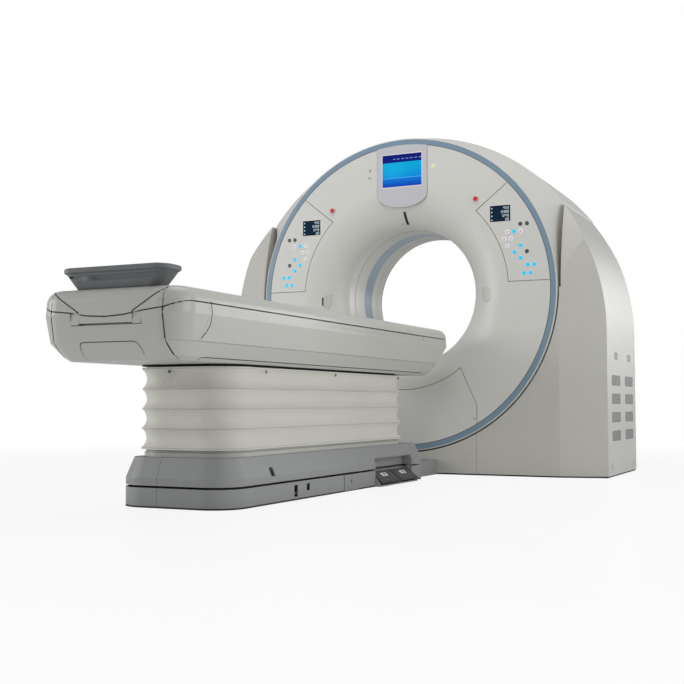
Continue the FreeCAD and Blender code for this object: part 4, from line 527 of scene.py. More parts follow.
def repeat(points, faces, places):
    """The same shape at several places: its points moved by each, its faces counted on."""
    places = np.asarray(places, float)
    moved = (points[None] + places[:, None]).reshape(-1, 3)
    steps = (np.arange(len(places)) * len(points))[:, None, None]
    return moved, (faces[None] + steps).reshape(-1, faces.shape[1])


def turned(profile, sides=32):
    """A profile of (radius, y) carried round the Y axis: x = r cos a, z = r sin a."""
    profile = np.asarray(profile, float)
    angle = np.linspace(0, 2 * math.pi, sides, endpoint=False)
    radius, along = profile[:, :1], profile[:, 1:]
    points = np.stack(np.broadcast_arrays(radius * np.cos(angle), along, radius * np.sin(angle)), -1)
    return points.reshape(-1, 3), grid_faces(len(profile), sides, wrap=True)


def dome(radius, proud, crown, steps=6):
    """Profile of a cap: side, rounded shoulder and a crown that rises as 1 minus (r / radius) squared."""
    share = np.linspace(1, 0, steps)
    face = np.stack([radius * (0.96 * share), -proud - crown * (1 - share ** 2)], -1)
    return np.vstack([[radius, 0.0], [radius, -proud * 0.7], face])


def hoop(inner, outer, proud):
    """Profile of a flat ring with a slightly raised, rounded top, closed at the back."""
    middle = (inner + outer) / 2
    return [(inner, 0.0), (inner, -proud * 0.6), (middle, -proud), (outer, -proud * 0.6),
            (outer, 0.0), (inner, 0.0)]


def slab(x, y, z):
    """The eight corners and six faces of a box between two values on each axis."""
    grid = np.stack(np.meshgrid(x, y, z, indexing="ij"), -1).reshape(-1, 3)
    faces = np.array([(0, 1, 3, 2), (4, 6, 7, 5), (0, 4, 5, 1), (2, 3, 7, 6), (0, 2, 6, 4), (1, 5, 7, 3)])
    return grid, faces


def gather(parts):
    """Several sets of points and quads as one."""
    counts = np.cumsum([0] + [len(p) for p, _ in parts[:-1]])
    return np.vstack([p for p, _ in parts]), np.vstack([f + c for (_, f), c in zip(parts, counts)])


def shell(front, rear):
    """Two grids of points with the same rows and columns, joined round their rims."""
    rows, columns = front.shape[:2]
    count = rows * columns
    index = np.arange(count).reshape(rows, columns)
    rim = np.concatenate([index[0], index[1:, -1], index[-1, -2::-1], index[-2:0:-1, 0]])
    after = np.roll(rim, -1)
    walls = np.stack([rim, after, after + count, rim + count], -1)
    faces = grid_faces(rows, columns)
    points = np.concatenate([front.reshape(-1, 3), rear.reshape(-1, 3)])
    return points, np.concatenate([faces, faces[:, ::-1] + count, walls])


def sideways(path):
    """Unit normals of an open path in its own plane."""
    tangent = np.gradient(path, axis=0)
    normal = np.stack([-tangent[:, 1], tangent[:, 0]], -1)
    return normal / np.linalg.norm(normal, axis=1)[:, None]


def pointed(rows):
    """Rows of four points as a closed strip, whose ends close to the middle of the outer rows."""
    first, last = [np.repeat(rows[i].mean(0)[None, None], 4, 1) for i in (0, -1)]
    rows = np.concatenate([first, rows, last])
    return rows.reshape(-1, 3), grid_faces(len(rows), 4, wrap=True)


def face_depth(reach):
    """Y of the front face at a distance from the bore's axis: flat outside the flare, and on it a
    quarter ellipse that turns into the bore."""
    share = np.clip((BORE_R + FLARE[0] - reach) / FLARE[0], 0, 1)
    return FACE + FLARE[1] * (1 - np.sqrt(1 - share ** 2))


def arc(radius, start, end, steps=48):
    """Points at one radius round the bore's axis between two angles from the right, in X and Z."""
    angle = np.linspace(start, end, steps)
    return np.stack([radius * np.cos(angle), ISO + radius * np.sin(angle)], -1)


def straight(start, end, steps=16):
    share = np.linspace(0, 1, steps)[:, None]
    return np.array(start) * (1 - share) + np.array(end) * share


def face_strip(path, width):
    """A low strip along a path in X and Z: its four corners lie on the path's normal, half a width to
    either side, on the front face and proud of it."""
    path = np.asarray(path, float)
    across = np.array([-0.5, -0.35, 0.35, 0.5]) * width
    rise = np.array([-SEAL_SUNK, SEAL_PROUD, SEAL_PROUD, -SEAL_SUNK])
    spread = path[:, None] + sideways(path)[:, None] * across[None, :, None]
    depth = face_depth(np.hypot(spread[..., 0], spread[..., 1] - ISO)) - rise
    return pointed(np.stack([spread[..., 0], depth, spread[..., 1]], -1))


def mirrored(shape):
    """The same shape on the other side of the middle, with its faces turned back outwards."""
    points, faces = shape
    return points * (-1, 1, 1), faces[:, ::-1]


def facing(shape, heading):
    """A shape made to face -Y, turned about Z by a heading so that it faces another way."""
    points, faces = shape
    x, y, z = points.T
    turn = (x * math.cos(heading) - y * math.sin(heading), x * math.sin(heading) + y * math.cos(heading))
    return np.stack([*turn, z], -1), faces


class Skin:
    """The outer surface of some nodes, found by looking at it from the foot end or from the right."""

    VIEWS = {"foot": ((0, 2), 1, -4.0, (0, 1, 0)), "right": ((1, 2), 0, 2.0, (-1, 0, 0))}
    AROUND = ((0, 0), (0.002, 0), (-0.002, 0), (0, 0.002), (0, -0.002), (0, -0.004))
    DEEP = 0.006

    def __init__(self, *names):
        meshes = [NODES[name].data for name in names]
        vertices = [np.array([v.co for v in mesh.vertices]) for mesh in meshes]
        starts = np.cumsum([0] + [len(v) for v in vertices[:-1]])
        faces = [tuple(int(i) + int(start) for i in polygon.vertices)
                 for mesh, start in zip(meshes, starts) for polygon in mesh.polygons]
        self.tree = BVHTree.FromPolygons(np.vstack(vertices).tolist(), faces)

    def seen(self, view, spots):
        """The surface points and normals behind spots in the plane of a view; where a spot falls into
        a gap, the surface beside it."""
        plane, depth, start, ahead = self.VIEWS[view]
        points, normals = [], []
        for spot in spots:
            found = []
            for aside in self.AROUND:
                origin = [0.0, 0.0, 0.0]
                origin[plane[0]], origin[plane[1]] = float(spot[0] + aside[0]), float(spot[1] + aside[1])
                origin[depth] = start
                place, normal, _, far = self.tree.ray_cast(origin, ahead)
                if place is not None:
                    found.append((far, place, normal))
            if not found:
                raise RuntimeError(f"No surface behind {tuple(spot)} from {view}")
            nearest = min(far for far, _, _ in found) + self.DEEP
            _, place, normal = next(each for each in found if each[0] <= nearest)
            points.append(place)
            normals.append(normal)
        return np.array(points), np.array(normals)

    def strip(self, view, corners, width):
        """A low strip draped over a path of straight runs: both edges are looked up half a width to
        either side of it, so the joint under it is bridged."""
        corners = np.asarray(corners, float)
        runs = []
        for start, end in zip(corners[:-1], corners[1:]):
            steps = max(3, int(np.linalg.norm(end - start) / SEAL_PITCH))
            runs.append(straight(start, end, steps)[:-1])
        path = np.vstack([*runs, corners[-1:]])
        aside = sideways(path)
        edges = [self.seen(view, path + side * aside * width / 2) for side in (-1, 1)]
        (first, up), (last, over) = edges
        columns = [first - up * SEAL_SUNK, first + up * SEAL_PROUD,
                   last + over * SEAL_PROUD, last - over * SEAL_SUNK]
        return pointed(np.stack(columns, 1))


def rounded_path(half, ends, corners):
    """Plan outline of a rounded rectangle as points in order, corner radii for the foot and head ends."""
    foot, head = corners
    per_corner, per_side = PLAN_STEPS
    spots = ((half - head, ends[1] - head, head, 0), (head - half, ends[1] - head, head, 90),
             (foot - half, ends[0] + foot, foot, 180), (half - foot, ends[0] + foot, foot, 270))
    turns = []
    for x, y, radius, start in spots:
        angle = np.radians(np.linspace(start, start + 90, per_corner))
        turns.append(np.stack([x + radius * np.cos(angle), y + radius * np.sin(angle)], -1))
    path = []
    for this, following in zip(turns, turns[1:] + turns[:1]):
        path += [this, straight(this[-1], following[0], per_side)[1:-1]]
    return np.vstack(path)


# ---------------------------------------------------------------- pieces
def dress(material, *names):
    for name in names:
        NODES[name].data.materials.clear()
        NODES[name].data.materials.append(material)


class Covers(bpy.types.Operator):
    """Gives the moulded covers of gantry and couch their finishes"""
    bl_idname = "scanner.covers"
    bl_label = "Covers"

    def bay(self, colour):
        """The pedal bay: the base's grey, with painted shade, near black, in its rear wall's joint and in
        its crevices.
        """
        paint = Paint("bay_moulding")
        paint.round_edges(sizes().edge)
        east, _, up = paint.axes()
        drift = paint.noise(2.1, 3.0)
        tone = paint.mix(drift, shade(colour, 0.94), shade(colour, 1.04))
        joint = (abs(up - BAY_JOINT[0]) < BAY_JOINT[1]) * (east < BAY_JOINT[2])
        # painted shade: the joint's groove drawn near black
        tone = paint.mix(joint * 0.95, tone, rgb(16, 15, 15))
        # painted shade: crevices darkened by ambient occlusion
        tone = paint.mix(paint.crevice_shade() * 0.9, tone, rgb(22, 20, 19))
        paint.bump(paint.noise(700.0), 0.00012, 0.5)
        return paint.set(Base_Color=tone, Roughness=drift * 0.16 + 0.42).done()

    def execute(self, context):
        tone = colours()
        dress(moulded("drum_moulding", tone.cover), "drum_shell", "front_cover", "service_cover",
              "rear_cover", "bore_liner", "control_panel_right", "control_panel_left")
        dress(moulded("stand_moulding", tone.stand, 0.42), "stand_cover_right", "stand_cover_left",
              "lower_front_cover", "lower_rear_cover")
        dress(moulded("couch_moulding", tone.couch, 0.34), "couch_shell", "couch_corner_covers",
              "couch_foot_cover", "couch_foot_hatch", "couch_lid_insert", "bellows_lower_strip")
        dress(moulded("lid_moulding", tone.couch, 0.34, joint=(0.236, -3.0)), "couch_lid")
        dress(moulded("ring_moulding", tone.ring, 0.3, 0.03), "front_ring")
        dress(moulded("window_film", tone.band, 0.22, 0.02), "beam_window_band")
        dress(moulded("bezel_moulding", tone.bezel, 0.3, 0.02), "screen_surround")
        dress(moulded("tabletop_skin", tone.top, 0.4, 0.03), "tabletop")
        dress(grained("grip_moulding", tone.grip, 0.45, 1300.0), "tabletop_end_grip")
        dress(grained("base_moulding", tone.base, 0.5, joint=-2.3), "couch_base_band", "couch_base_shroud")
        dress(grained("duct_moulding", tone.base, 0.5), "key_plate", "cable_duct")
        dress(self.bay(tone.base), "pedal_housing")
        return {"FINISHED"}


class Works(bpy.types.Operator):
    """Gives the frames, bearings and drives inside the covers their metals and paints"""
    bl_idname = "scanner.works"
    bl_label = "Works"

    def execute(self, context):
        tone = colours()
        dress(painted("dark_paint", rgb(36, 34, 32)), "couch_frame")
        dress(painted("frame_paint", tone.steel), "floor_frame", "tilt_drive", "couch_base_plate",
              "tabletop_drive", "lift_power_pack", "high_voltage_generator")
        dress(brushed("bearing_steel", tone.metal, 0.25), "trunnion_bearings", "main_bearing_outer",
              "main_bearing_inner", "xray_tube")
        dress(brushed("casting", tone.metal, 0.5, 0.9, (1.0, 1.0, 1.0)), "tilt_frame", "rotor_frame")
        dress(brushed("column_alloy", tone.metal, 0.3), "lift_columns_outer", "lift_columns_middle",
              "lift_columns_inner", "tabletop_carriage", "tube_cooler")
        dress(wound("winding", rgb(190, 128, 82)), "drive_stator", "slip_ring")
        dress(painted("shield_paint", rgb(60, 61, 64)), "collimator")
        dress(painted("board_boxes", rgb(62, 92, 74), 0.4), "detector_array")
        dress(ribbed_rubber("brush_moulding", tone.rubber), "brush_block")
        return {"FINISHED"}


class Displays(bpy.types.Operator):
    """Lights the screen and the two position displays, with their borders and figures"""
    bl_idname = "scanner.displays"
    bl_label = "Displays"

    BARS = {"a": (0, 1, 1), "b": (1, 1, 0), "c": (1, 0, 0), "d": (0, 0, 1), "e": (-1, 0, 0),
            "f": (-1, 1, 0), "g": (0, 0.5, 1)}
    LIT = {"0": "abcdef", "1": "bc", "2": "abged", "3": "abgcd", "4": "fgbc", "5": "afgcd",
           "8": "abcdefg"}
    RIMS = (0.004, 0.0025)      # widths of the pale rims round the screen and round a readout
    HIGH, NEXT, ROW = 0.013, 0.0115, 0.0215     # height of a figure, pitch of figures and of rows
    RISE = (-0.0005, 0.0012)    # front and back of a figure, from the panel's glass

    def border(self, centre, half, width, front, back):
        """Four slabs round a rectangle in the front plane, given its centre and half sizes."""
        (cx, cz), (w, h) = centre, half
        y = (front, back)
        return gather([
            slab((cx - w - width, cx + w + width), y, (cz + h, cz + h + width)),
            slab((cx - w - width, cx + w + width), y, (cz - h - width, cz - h)),
            slab((cx - w - width, cx - w), y, (cz - h, cz + h)),
            slab((cx + w, cx + w + width), y, (cz - h, cz + h)),
        ])

    def figure(self, digit, x, z, y):
        """The lit bars of a seven-bar figure with its lower left corner at x and z."""
        high = self.HIGH
        wide, thick = high * 0.5, high * 0.14
        bars = []
        for name in self.LIT[digit]:
            side, level, flat = self.BARS[name]
            if flat:
                middle = z + level * high
                bars.append(slab((x, x + wide), y, (middle - thick / 2, middle + thick / 2)))
            else:
                edge = x + (wide if side > 0 else 0)
                low = z + level * high / 2
                bars.append(slab((edge - thick / 2, edge + thick / 2), y, (low, low + high / 2)))
        return bars

    def execute(self, context):
        dress(screen_glass(), "displays")
        dress(lamp_glass(), "lamp_windows")
        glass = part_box("displays")[0].y
        rim = glossy("display_rim", rgb(232, 224, 222), 0.35)
        middle = sum(SCREEN_Z) / 2
        tall = (SCREEN_Z[1] - SCREEN_Z[0]) / 2
        wide, narrow = self.RIMS
        edges = [self.border((0.0, middle), (SCREEN_HALF, tall), wide, glass - 0.0004, glass + 0.002)]
        figures = []
        front = PANEL_FRONT - 0.0006
        depth = tuple(front + step for step in self.RISE)
        for side in (-1, 1):
            cx, cz = side * READOUT_AT[0], READOUT_AT[1]
            edges.append(self.border((cx, cz), READOUT_HALF, narrow, front - 0.0006, front + 0.002))
            for row, text in enumerate(READOUT_ROWS):
                z = cz + READOUT_HALF[1] - (row + 1) * self.ROW
                last = cx + READOUT_HALF[0] - 0.017
                for place, digit in enumerate(reversed(text)):
                    figures += self.figure(digit, last - place * self.NEXT, z, depth)
                mark = cx - READOUT_HALF[0] + 0.008
                figures.append(slab((mark, mark + 0.006), depth, (z + 0.003, z + 0.01)))
        piece("display_borders", *gather(edges), rim, "gantry_drum", "screen_grey", smooth=False)
        lit = glossy("lit_figures", rgb(206, 222, 226), 0.4, 0.5)
        piece("readout_figures", *gather(figures), lit, "gantry_drum", "display", smooth=False)
        return {"FINISHED"}


class Keys(bpy.types.Operator):
    """Builds the crowned keys with their pale rings, the stop buttons' rings and the side marks"""
    bl_idname = "scanner.keys"
    bl_label = "Keys"

    PLUS = ((0.0016, 0.0045), (0.0045, 0.0012))     # half sizes in X and Z of a key mark's bars
    PLUS_Y, MARK_Y = (-0.0024, -0.0012), (-0.0008, 0.001)       # depths of key marks and side marks
    SIDE_X = -0.200                                 # place of the side marks, then heights and bars
    SIDE_MARKS = ((1.740, (((-0.007, 0.007), (0.004, 0.010)), ((-0.004, 0.004), (-0.010, 0.002)))),
                  (1.700, (((-0.009, -0.003), (-0.008, 0.008)), ((-0.001, 0.009), (-0.008, -0.003)))))
    STOP_RING, LAMP_RING = (0.0172, 0.0218), (0.0112, 0.0165)   # inner and outer radii
    RING_PROUD = 0.0012         # how far these two rings stand out

    def execute(self, context):
        tone, size = colours(), sizes()
        front = PANEL_FRONT + 0.0002
        finishes = {
            "lit": glossy("lit_key", tone.key, 0.3, 0.55),
            # pale keys are not lit; their glow of 0.05 is painted light
            "pale": glossy("pale_key", tone.pale_key, 0.35, 0.05),
            "dark": glossy("dark_key", tone.dark_key, 0.4),
        }
        cap = turned(dome(size.key_radius, 0.0012, size.key_dome))
        made = []
        for kind, finish in finishes.items():
            places = [(side * x, front, z) for side in (-1, 1) for x, z, k in KEYS if k == kind]
            made.append(piece("keys_" + kind, *repeat(*cap, places), finish, "gantry_drum", "key_cyan"))
        for keys in made:
            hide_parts("panel_keys")
        ring = turned(hoop(size.key_radius + 0.0002, size.key_radius + size.halo, 0.0007))
        ringed = [(side * x, front, z) for side in (-1, 1) for x, z, k in KEYS if k != "dark"]
        piece("key_rings", *repeat(*ring, ringed), glossy("key_ring", rgb(238, 222, 224), 0.4),
              "gantry_drum", "screen_grey")
        mark = gather([slab((-wide, wide), self.PLUS_Y, (-high, high)) for wide, high in self.PLUS])
        marked = [(side * x, front, z) for side in (-1, 1) for x, z, k in KEYS if k == "pale"]
        piece("key_marks", *repeat(*mark, marked), glossy("key_mark", rgb(116, 112, 132), 0.5),
              "gantry_drum", "screen_grey", smooth=False)
        dress(glossy("stop_red", tone.stop, 0.3), "stop_button_right", "stop_button_left")
        stop, lamp = [turned(hoop(*radii, self.RING_PROUD)) for radii in (self.STOP_RING, self.LAMP_RING)]
        stops = [(side * STOP_AT[0], FACE + 0.0002, STOP_AT[1]) for side in (-1, 1)]
        rings = gather([repeat(*stop, stops), repeat(*lamp, [(LAMP_AT[0], FACE + 0.0002, LAMP_AT[1])])])
        piece("button_rings", *rings, glossy("button_ring", rgb(222, 218, 214), 0.35),
              "gantry_drum", "screen_grey")
        marks = gather([repeat(*slab(x, self.MARK_Y, z), [(self.SIDE_X, FACE, level)])
                        for level, bars in self.SIDE_MARKS for x, z in bars])
        piece("side_marks", *marks, glossy("side_mark", rgb(138, 138, 136), 0.5), "gantry_drum",
              "screen_grey", smooth=False)
        return {"FINISHED"}


class RingTrim(bpy.types.Operator):
    """Turns the bevelled trim outside the ring"""
    bl_idname = "scanner.ring_trim"
    bl_label = "Ring trim"

    def execute(self, context):
        low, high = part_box("front_ring")
        outer = (high.x - low.x) / 2
        trim = sizes().trim
        seat = turned([(outer + 0.0004, low.y + 0.010), (outer + 0.0004, low.y + 0.0005),
                       (outer + trim * 0.3, low.y + 0.0004), (outer + trim, low.y + 0.005),
                       (outer + trim, low.y + 0.010), (outer + 0.0004, low.y + 0.010)], WHEEL)
        piece("ring_bevel", *repeat(*seat, [BORE_CENTRE]),
              moulded("trim_moulding", shade(colours().cover, 1.06), 0.3, 0.02),
              "gantry_drum", "cover_white")
        return {"FINISHED"}


class Seals(bpy.types.Operator):
    """Lays the dark seals in the joints of the front face, the bore and the ring, and two screw caps"""
    bl_idname = "scanner.seals"
    bl_label = "Seals"

    BORE_RINGS = (              # place in Y, half width and how far each stands into the bore
        (-0.192, 0.0016, 0.0006), (0.130, 0.0008, 0.0004), (0.205, 0.002, 0.0006),
    )

    def panel_joint(self, width):
        """From the ring along the head edge, round the inner edge and back out along the foot edge."""
        head, corner = PANEL_CORNERS
        low = math.asin((PANEL_FOOT - ISO) / PANEL_ARC)
        high = math.atan2(corner[1] - ISO, corner[0])
        inner = arc(PANEL_ARC, high, low)
        ring_end = (math.sqrt(RING_INNER ** 2 - (PANEL_FOOT - ISO) ** 2), PANEL_FOOT)
        runs = [straight(head, inner[0]), inner, straight(inner[-1], ring_end)]
        return gather([face_strip(run, width) for run in runs])

    def bore_ring(self, place, half, proud):
        """A low ring in the bore, with its foot in the liner."""
        inner, outer = BORE_R - proud, BORE_R + 0.002
        ring = turned([(outer, -half), (inner, -half * 0.8), (inner, half * 0.8), (outer, half),
                       (outer, -half)], 192)
        return repeat(*ring, [(0.0, place, ISO)])

    def execute(self, context):
        width = sizes().seam
        panel = self.panel_joint(width)
        high, low = SERVICE_CORNERS
        angle = math.atan2(high[1] - ISO, high[0])
        top = face_strip(arc(SERVICE_ARC, -math.pi - angle, angle, 96), width)
        foot = (low[0], ISO - math.sqrt(RING_INNER ** 2 - low[0] ** 2))
        side = gather([face_strip(straight(*ends), width * 0.7) for ends in ((high, low), (low, foot))])
        joints = gather([panel, mirrored(panel), top, side, mirrored(side)])
        seal = moulded("joint_seal", colours().seal, 0.6, 0.04)
        piece("face_seals", *joints, seal, "gantry_drum", "cover_white")
        edge = turned([(RING_INNER - 0.0028, 0.001), (RING_INNER - 0.0026, -0.0006),
                       (RING_INNER + 0.0004, -0.0006), (RING_INNER + 0.0006, 0.001),
                       (RING_INNER - 0.0028, 0.001)], WHEEL)
        piece("ring_seal", *repeat(*edge, [(0.0, FACE, ISO)]),
              moulded("ring_seal_moulding", shade(colours().ring, 0.32), 0.5, 0.02),
              "gantry_drum", "ring_blue")
        rings = gather([self.bore_ring(*each) for each in self.BORE_RINGS])
        piece("bore_seals", *rings, seal, "gantry_drum", "cover_white")
        cap = turned(dome(0.006, 0.0006, 0.0006), DISC)
        places = [(x, face_depth(math.hypot(x, z - ISO)), z) for x, z in FACE_CAPS]
        piece("face_caps", *repeat(*cap, places), glossy("face_cap", rgb(150, 150, 146), 0.4),
              "gantry_drum", "cover_white")
        return {"FINISHED"}


class CouchSeams(bpy.types.Operator):
    """Lays the dark seals in the couch's joints and closes the ends of its pull recess"""
    bl_idname = "scanner.couch_seams"
    bl_label = "Couch seams"

    SETS = (("foot", FOOT_SEAMS, 1.35), ("foot", FOOT_LINES, 0.8), ("right", SIDE_SEAMS, 1.2),
            ("right", SIDE_LINES, 0.8))     # view, paths and share of the seal's width

    def cheek(self, skin):
        """A slab that bridges the recess beside the flap: its face runs straight from the flap to the
        cover and lies a little behind both."""
        inner, _ = skin.seen("foot", [(CHEEK_X[0] - 0.004, z) for z in (0.675, 0.690)])
        outer, _ = skin.seen("foot", [(CHEEK_X[1] + 0.004, z) for z in (0.675, 0.690)])
        x, z = np.linspace(*CHEEK_X, 5), np.linspace(*CHEEK_Z, 5)
        share = (x - CHEEK_X[0]) / (CHEEK_X[1] - CHEEK_X[0])
        face = inner[:, 1].mean() * (1 - share) + outer[:, 1].mean() * share + 0.0012
        return shell(*[np.stack(np.broadcast_arrays(x[:, None], (face + back)[:, None], z[None]), -1)
                       for back in (0.0, 0.004)])

    def execute(self, context):
        skin = Skin("couch_shell", "couch_corner_covers", "couch_foot_cover", "couch_foot_hatch",
                    "couch_lid", "couch_lid_insert")
        width = sizes().seam
        strips = gather([skin.strip(view, path, width * share)
                         for view, paths, share in self.SETS for path in paths])
        piece("couch_seals", *gather([strips, mirrored(strips)]),
              moulded("couch_seal", shade(colours().seal, 0.35), 0.6, 0.04), "couch_top", "couch_white")
        cheek = self.cheek(skin)
        piece("recess_cheeks", *gather([cheek, mirrored(cheek)]),
              moulded("cheek_moulding", colours().couch, 0.34), "couch_top", "couch_white", smooth=False)
        return {"FINISHED"}


class Bellows(bpy.types.Operator):
    """Hangs the coated cloth bellows between the couch and its base"""
    bl_idname = "scanner.bellows"
    bl_label = "Bellows"

    CORNERS = (0.125, 0.040)    # corner radii at the foot and head ends
    PER_FOLD = 14               # rows of points in a fold
    TUCK = 0.006                # cloth tucked in above the top fold and below the lowest one
    DROOP = 0.0022              # unevenness of the folds' height
    PUCKER, PUCKERS, PINCH = 0.045, 9, (0.007, 0.003)   # reach, count and depth round the screw

    def execute(self, context):
        """Plan outline times height: the cloth stands out by depth times 1 minus the 0.7th power of
        the sine of the way between two folds, hangs in by the sag towards mid-side, and is drawn in
        round the foot end's screw by a bell curve of the distance with a few puckers."""
        size = sizes()
        low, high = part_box("bellows")
        depth, count = size.fold_depth, size.folds
        path = rounded_path(high.x - depth, (low.y + depth, high.y - depth), self.CORNERS)
        ahead, behind = np.roll(path, -1, 0), np.roll(path, 1, 0)
        tangent = ahead - behind
        normal = np.stack([tangent[:, 1], -tangent[:, 0]], -1)
        normal /= np.linalg.norm(normal, axis=1)[:, None]
        run = np.concatenate([[0], np.cumsum(np.linalg.norm(np.diff(path, axis=0), axis=1))])
        share = np.linspace(0, 1, count * self.PER_FOLD + 1)
        phase = (share * count) % 1.0
        out = depth * (1 - np.sin(math.pi * phase) ** 0.7)
        wave = np.sin(run * 3.1 + 0.6) * np.sin(run * 1.3 + 2.0)
        slack = size.cloth_sag * np.sin(math.pi * phase)[:, None] * (0.5 + 0.5 * wave[None])
        stand = out[:, None] - slack
        height = low.z + share * (high.z - low.z)
        droop = self.DROOP * wave[None] * np.sin(math.pi * share)[:, None]
        plan = path[None] + normal[None] * stand[..., None]
        wall = np.concatenate([plan, (height[:, None] + droop)[..., None]], -1)
        away = wall - np.array(FOOT_SCREW)
        near = np.linalg.norm(away, axis=-1)
        turn = np.arctan2(away[..., 2], away[..., 0])
        middle, swing = self.PINCH
        pinch = np.exp(-(near / self.PUCKER) ** 2) * (middle + swing * np.cos(self.PUCKERS * turn))
        wall[..., :2] -= normal[None] * pinch[..., None]
        foot, head = wall[:1].copy(), wall[-1:].copy()
        foot[..., 2] -= self.TUCK
        head[..., 2] += self.TUCK
        wall = np.concatenate([foot, wall, head])
        chart = np.stack(np.broadcast_arrays(run[None], wall[:, :1, 2]), -1).reshape(-1, 2)
        cloth = piece("bellows_cloth", wall.reshape(-1, 3), grid_faces(len(wall), len(path), wrap=True),
                      coated_cloth("coated_cloth", colours().bellows, low.z, (high.z - low.z) / count),
                      None, "bellows", chart=chart)
        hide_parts("bellows")
        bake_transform(cloth)
        self.caps(high)
        return {"FINISHED"}

    def caps(self, high):
        """Screw caps along the upper edge, facing out of the sides and out of the foot end."""
        cap = turned(dome(sizes().cap, 0.0016, 0.0012), DISC)
        right = repeat(*facing(cap, math.pi / 2), [(high.x - 0.0015, y, z) for y, z in CLOTH_SCREWS])
        foot = repeat(*cap, [np.array(FOOT_SCREW) + (0, 0.006, 0)])
        piece("cloth_screws", *gather([right, mirrored(right), foot]),
              glossy("screw_cap", rgb(98, 95, 90), 0.45), "couch_top", "pedal_charcoal")


class Vents(bpy.types.Operator):
    """Sets the louvres into the stands' vents"""
    bl_idname = "scanner.vents"
    bl_label = "Vents"

    PLACES = [(y, 0.218 + 0.1 * row) for y in (-0.096, 0.268) for row in range(4)]      # Y and Z
    WIDE, HIGH = 0.232, 0.056               # size of a vent
    SIDE_GAP, EDGE_GAP = 0.016, 0.012       # gaps beside the louvres, and above and below together
    SLOT_FOOT = 0.60                        # the slots lie above this height
    LATCHES = ((-0.215, 0.055), (0.382, 0.051))     # Y and Z
    LATCH_HALF = (0.0055, 1.0, 0.022)       # half sizes in the face, with the depth unscaled

    def plates(self, tone):
        """Dark plates with painted shade towards their rims, and pale olive ones in the two slots above
        them.
        """
        paint = Paint("vent_moulding")
        up = paint.axes()[2]
        drift = paint.noise(26.0, 3.0)
        low = paint.mix(drift, shade(tone, 0.85), shade(tone, 1.1))
        colour = paint.mix(up > self.SLOT_FOOT, low, rgb(160, 154, 143))
        # painted shade at the rims, by ambient occlusion
        colour = paint.mix(paint.crevice_shade(0.014) * 0.8, colour, rgb(58, 54, 50))
        paint.bump(paint.noise(600.0), 0.0001, 0.5)
        return paint.set(Base_Color=colour, Roughness=drift * 0.2 + 0.5).done()

    def execute(self, context):
        tone = rgb(122, 127, 124)
        dress(self.plates(tone), "vent_grilles")
        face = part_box("vent_grilles")[1].x
        pitch = sizes().slat_pitch
        slats = []
        reach = self.WIDE / 2 - self.SIDE_GAP
        count = max(2, int((self.HIGH - self.EDGE_GAP) / pitch))
        for y, z in self.PLACES:
            for step in range(count):
                level = z + (step - (count - 1) / 2) * pitch
                for side in (-1, 1):
                    x = sorted((side * (face - 0.001), side * (face + 0.0012)))
                    slats.append(slab(x, (y - reach, y + reach),
                                      (level - pitch * 0.25, level + pitch * 0.25)))
        piece("vent_louvres", *gather(slats), grained("louvre_moulding", shade(tone, 1.06), 0.5),
              "floor_stand", "vent_dark", smooth=False)
        cap, faces = turned(dome(1.0, 0.0, 0.0, 8), 24)
        cap = cap * self.LATCH_HALF
        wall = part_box("stand_cover_right")[1].x
        latch = facing((cap + (0, -0.0008, 0) + np.outer(cap[:, 2] ** 2, (0, 1.2, 0)), faces), math.pi / 2)
        latches = gather([repeat(*latch, [(wall, y, z)]) for y, z in self.LATCHES])
        piece("stand_latches", *gather([latches, mirrored(latches)]),
              glossy("latch", rgb(120, 113, 104), 0.45), "floor_stand", "stand_grey")
        return {"FINISHED"}


class Pedals(bpy.types.Operator):
    """Lays ribbed pads and their two-tone patches on the pedals"""
    bl_idname = "scanner.pedals"
    bl_label = "Pedals"

    PAD = (0.0006, 0.0009)      # lift of a pad and height of its ribs
    STEPS = (80, 6)             # points of a sheet across and along the pedal
    SUNK = 0.0012               # how far a sheet's underside lies in the tread

    def sheet(self, x, y, lift, ribs=0.0):
        """A closed sheet over the sloping tread between two values in X and Y: its top is raised by
        lift, with ribs that rise as the sixth power of the sine along the slope, and its rim and
        underside lie in the tread."""
        (foot_x, foot_z), (edge_x, edge_z) = TREAD
        slope = (edge_z - foot_z) / (edge_x - foot_x)
        across, along = [np.linspace(*ends, steps) for ends, steps in zip((x, y), self.STEPS)]
        rise = lift + ribs * np.abs(np.sin(math.pi * across / sizes().rib_pitch)) ** 6
        tread = foot_z + slope * (across - foot_x)
        return shell(*[np.stack(np.broadcast_arrays(across[:, None], along[None], height[:, None]), -1)
                       for height in (tread + rise, tread - self.SUNK)])

    def execute(self, context):
        tone = colours()
        dress(ribbed_rubber("pedal_rubber", shade(tone.rubber, 0.7)), "foot_pedal_head", "foot_pedal_foot")
        pad = ribbed_rubber("pad_rubber", tone.rubber)
        patches = (("patch", (0.010, 0.028), 0.034, 0.0019, glossy("pedal_patch", rgb(226, 228, 234), 0.4)),
                   ("mark", (0.014, 0.024), 0.012, 0.0024, glossy("pedal_mark", rgb(104, 146, 200), 0.4)))
        (foot_x, _), (edge_x, _) = TREAD
        for end in ("head", "foot"):
            low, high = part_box("foot_pedal_" + end)
            y = (low.y + 0.006, high.y - 0.006)
            middle = (low.y + high.y) / 2
            body = "pedal_" + end
            piece("pad_" + end, *self.sheet((foot_x + 0.003, edge_x - 0.003), y, *self.PAD), pad,
                  body, "pedal_charcoal")
            for name, span, half, lift, finish in patches:
                x = [foot_x + step for step in span]
                shape = self.sheet(x, (middle - half, middle + half), lift)
                piece(f"{name}_{end}", *shape, finish, body, "screen_grey")
        return {"FINISHED"}


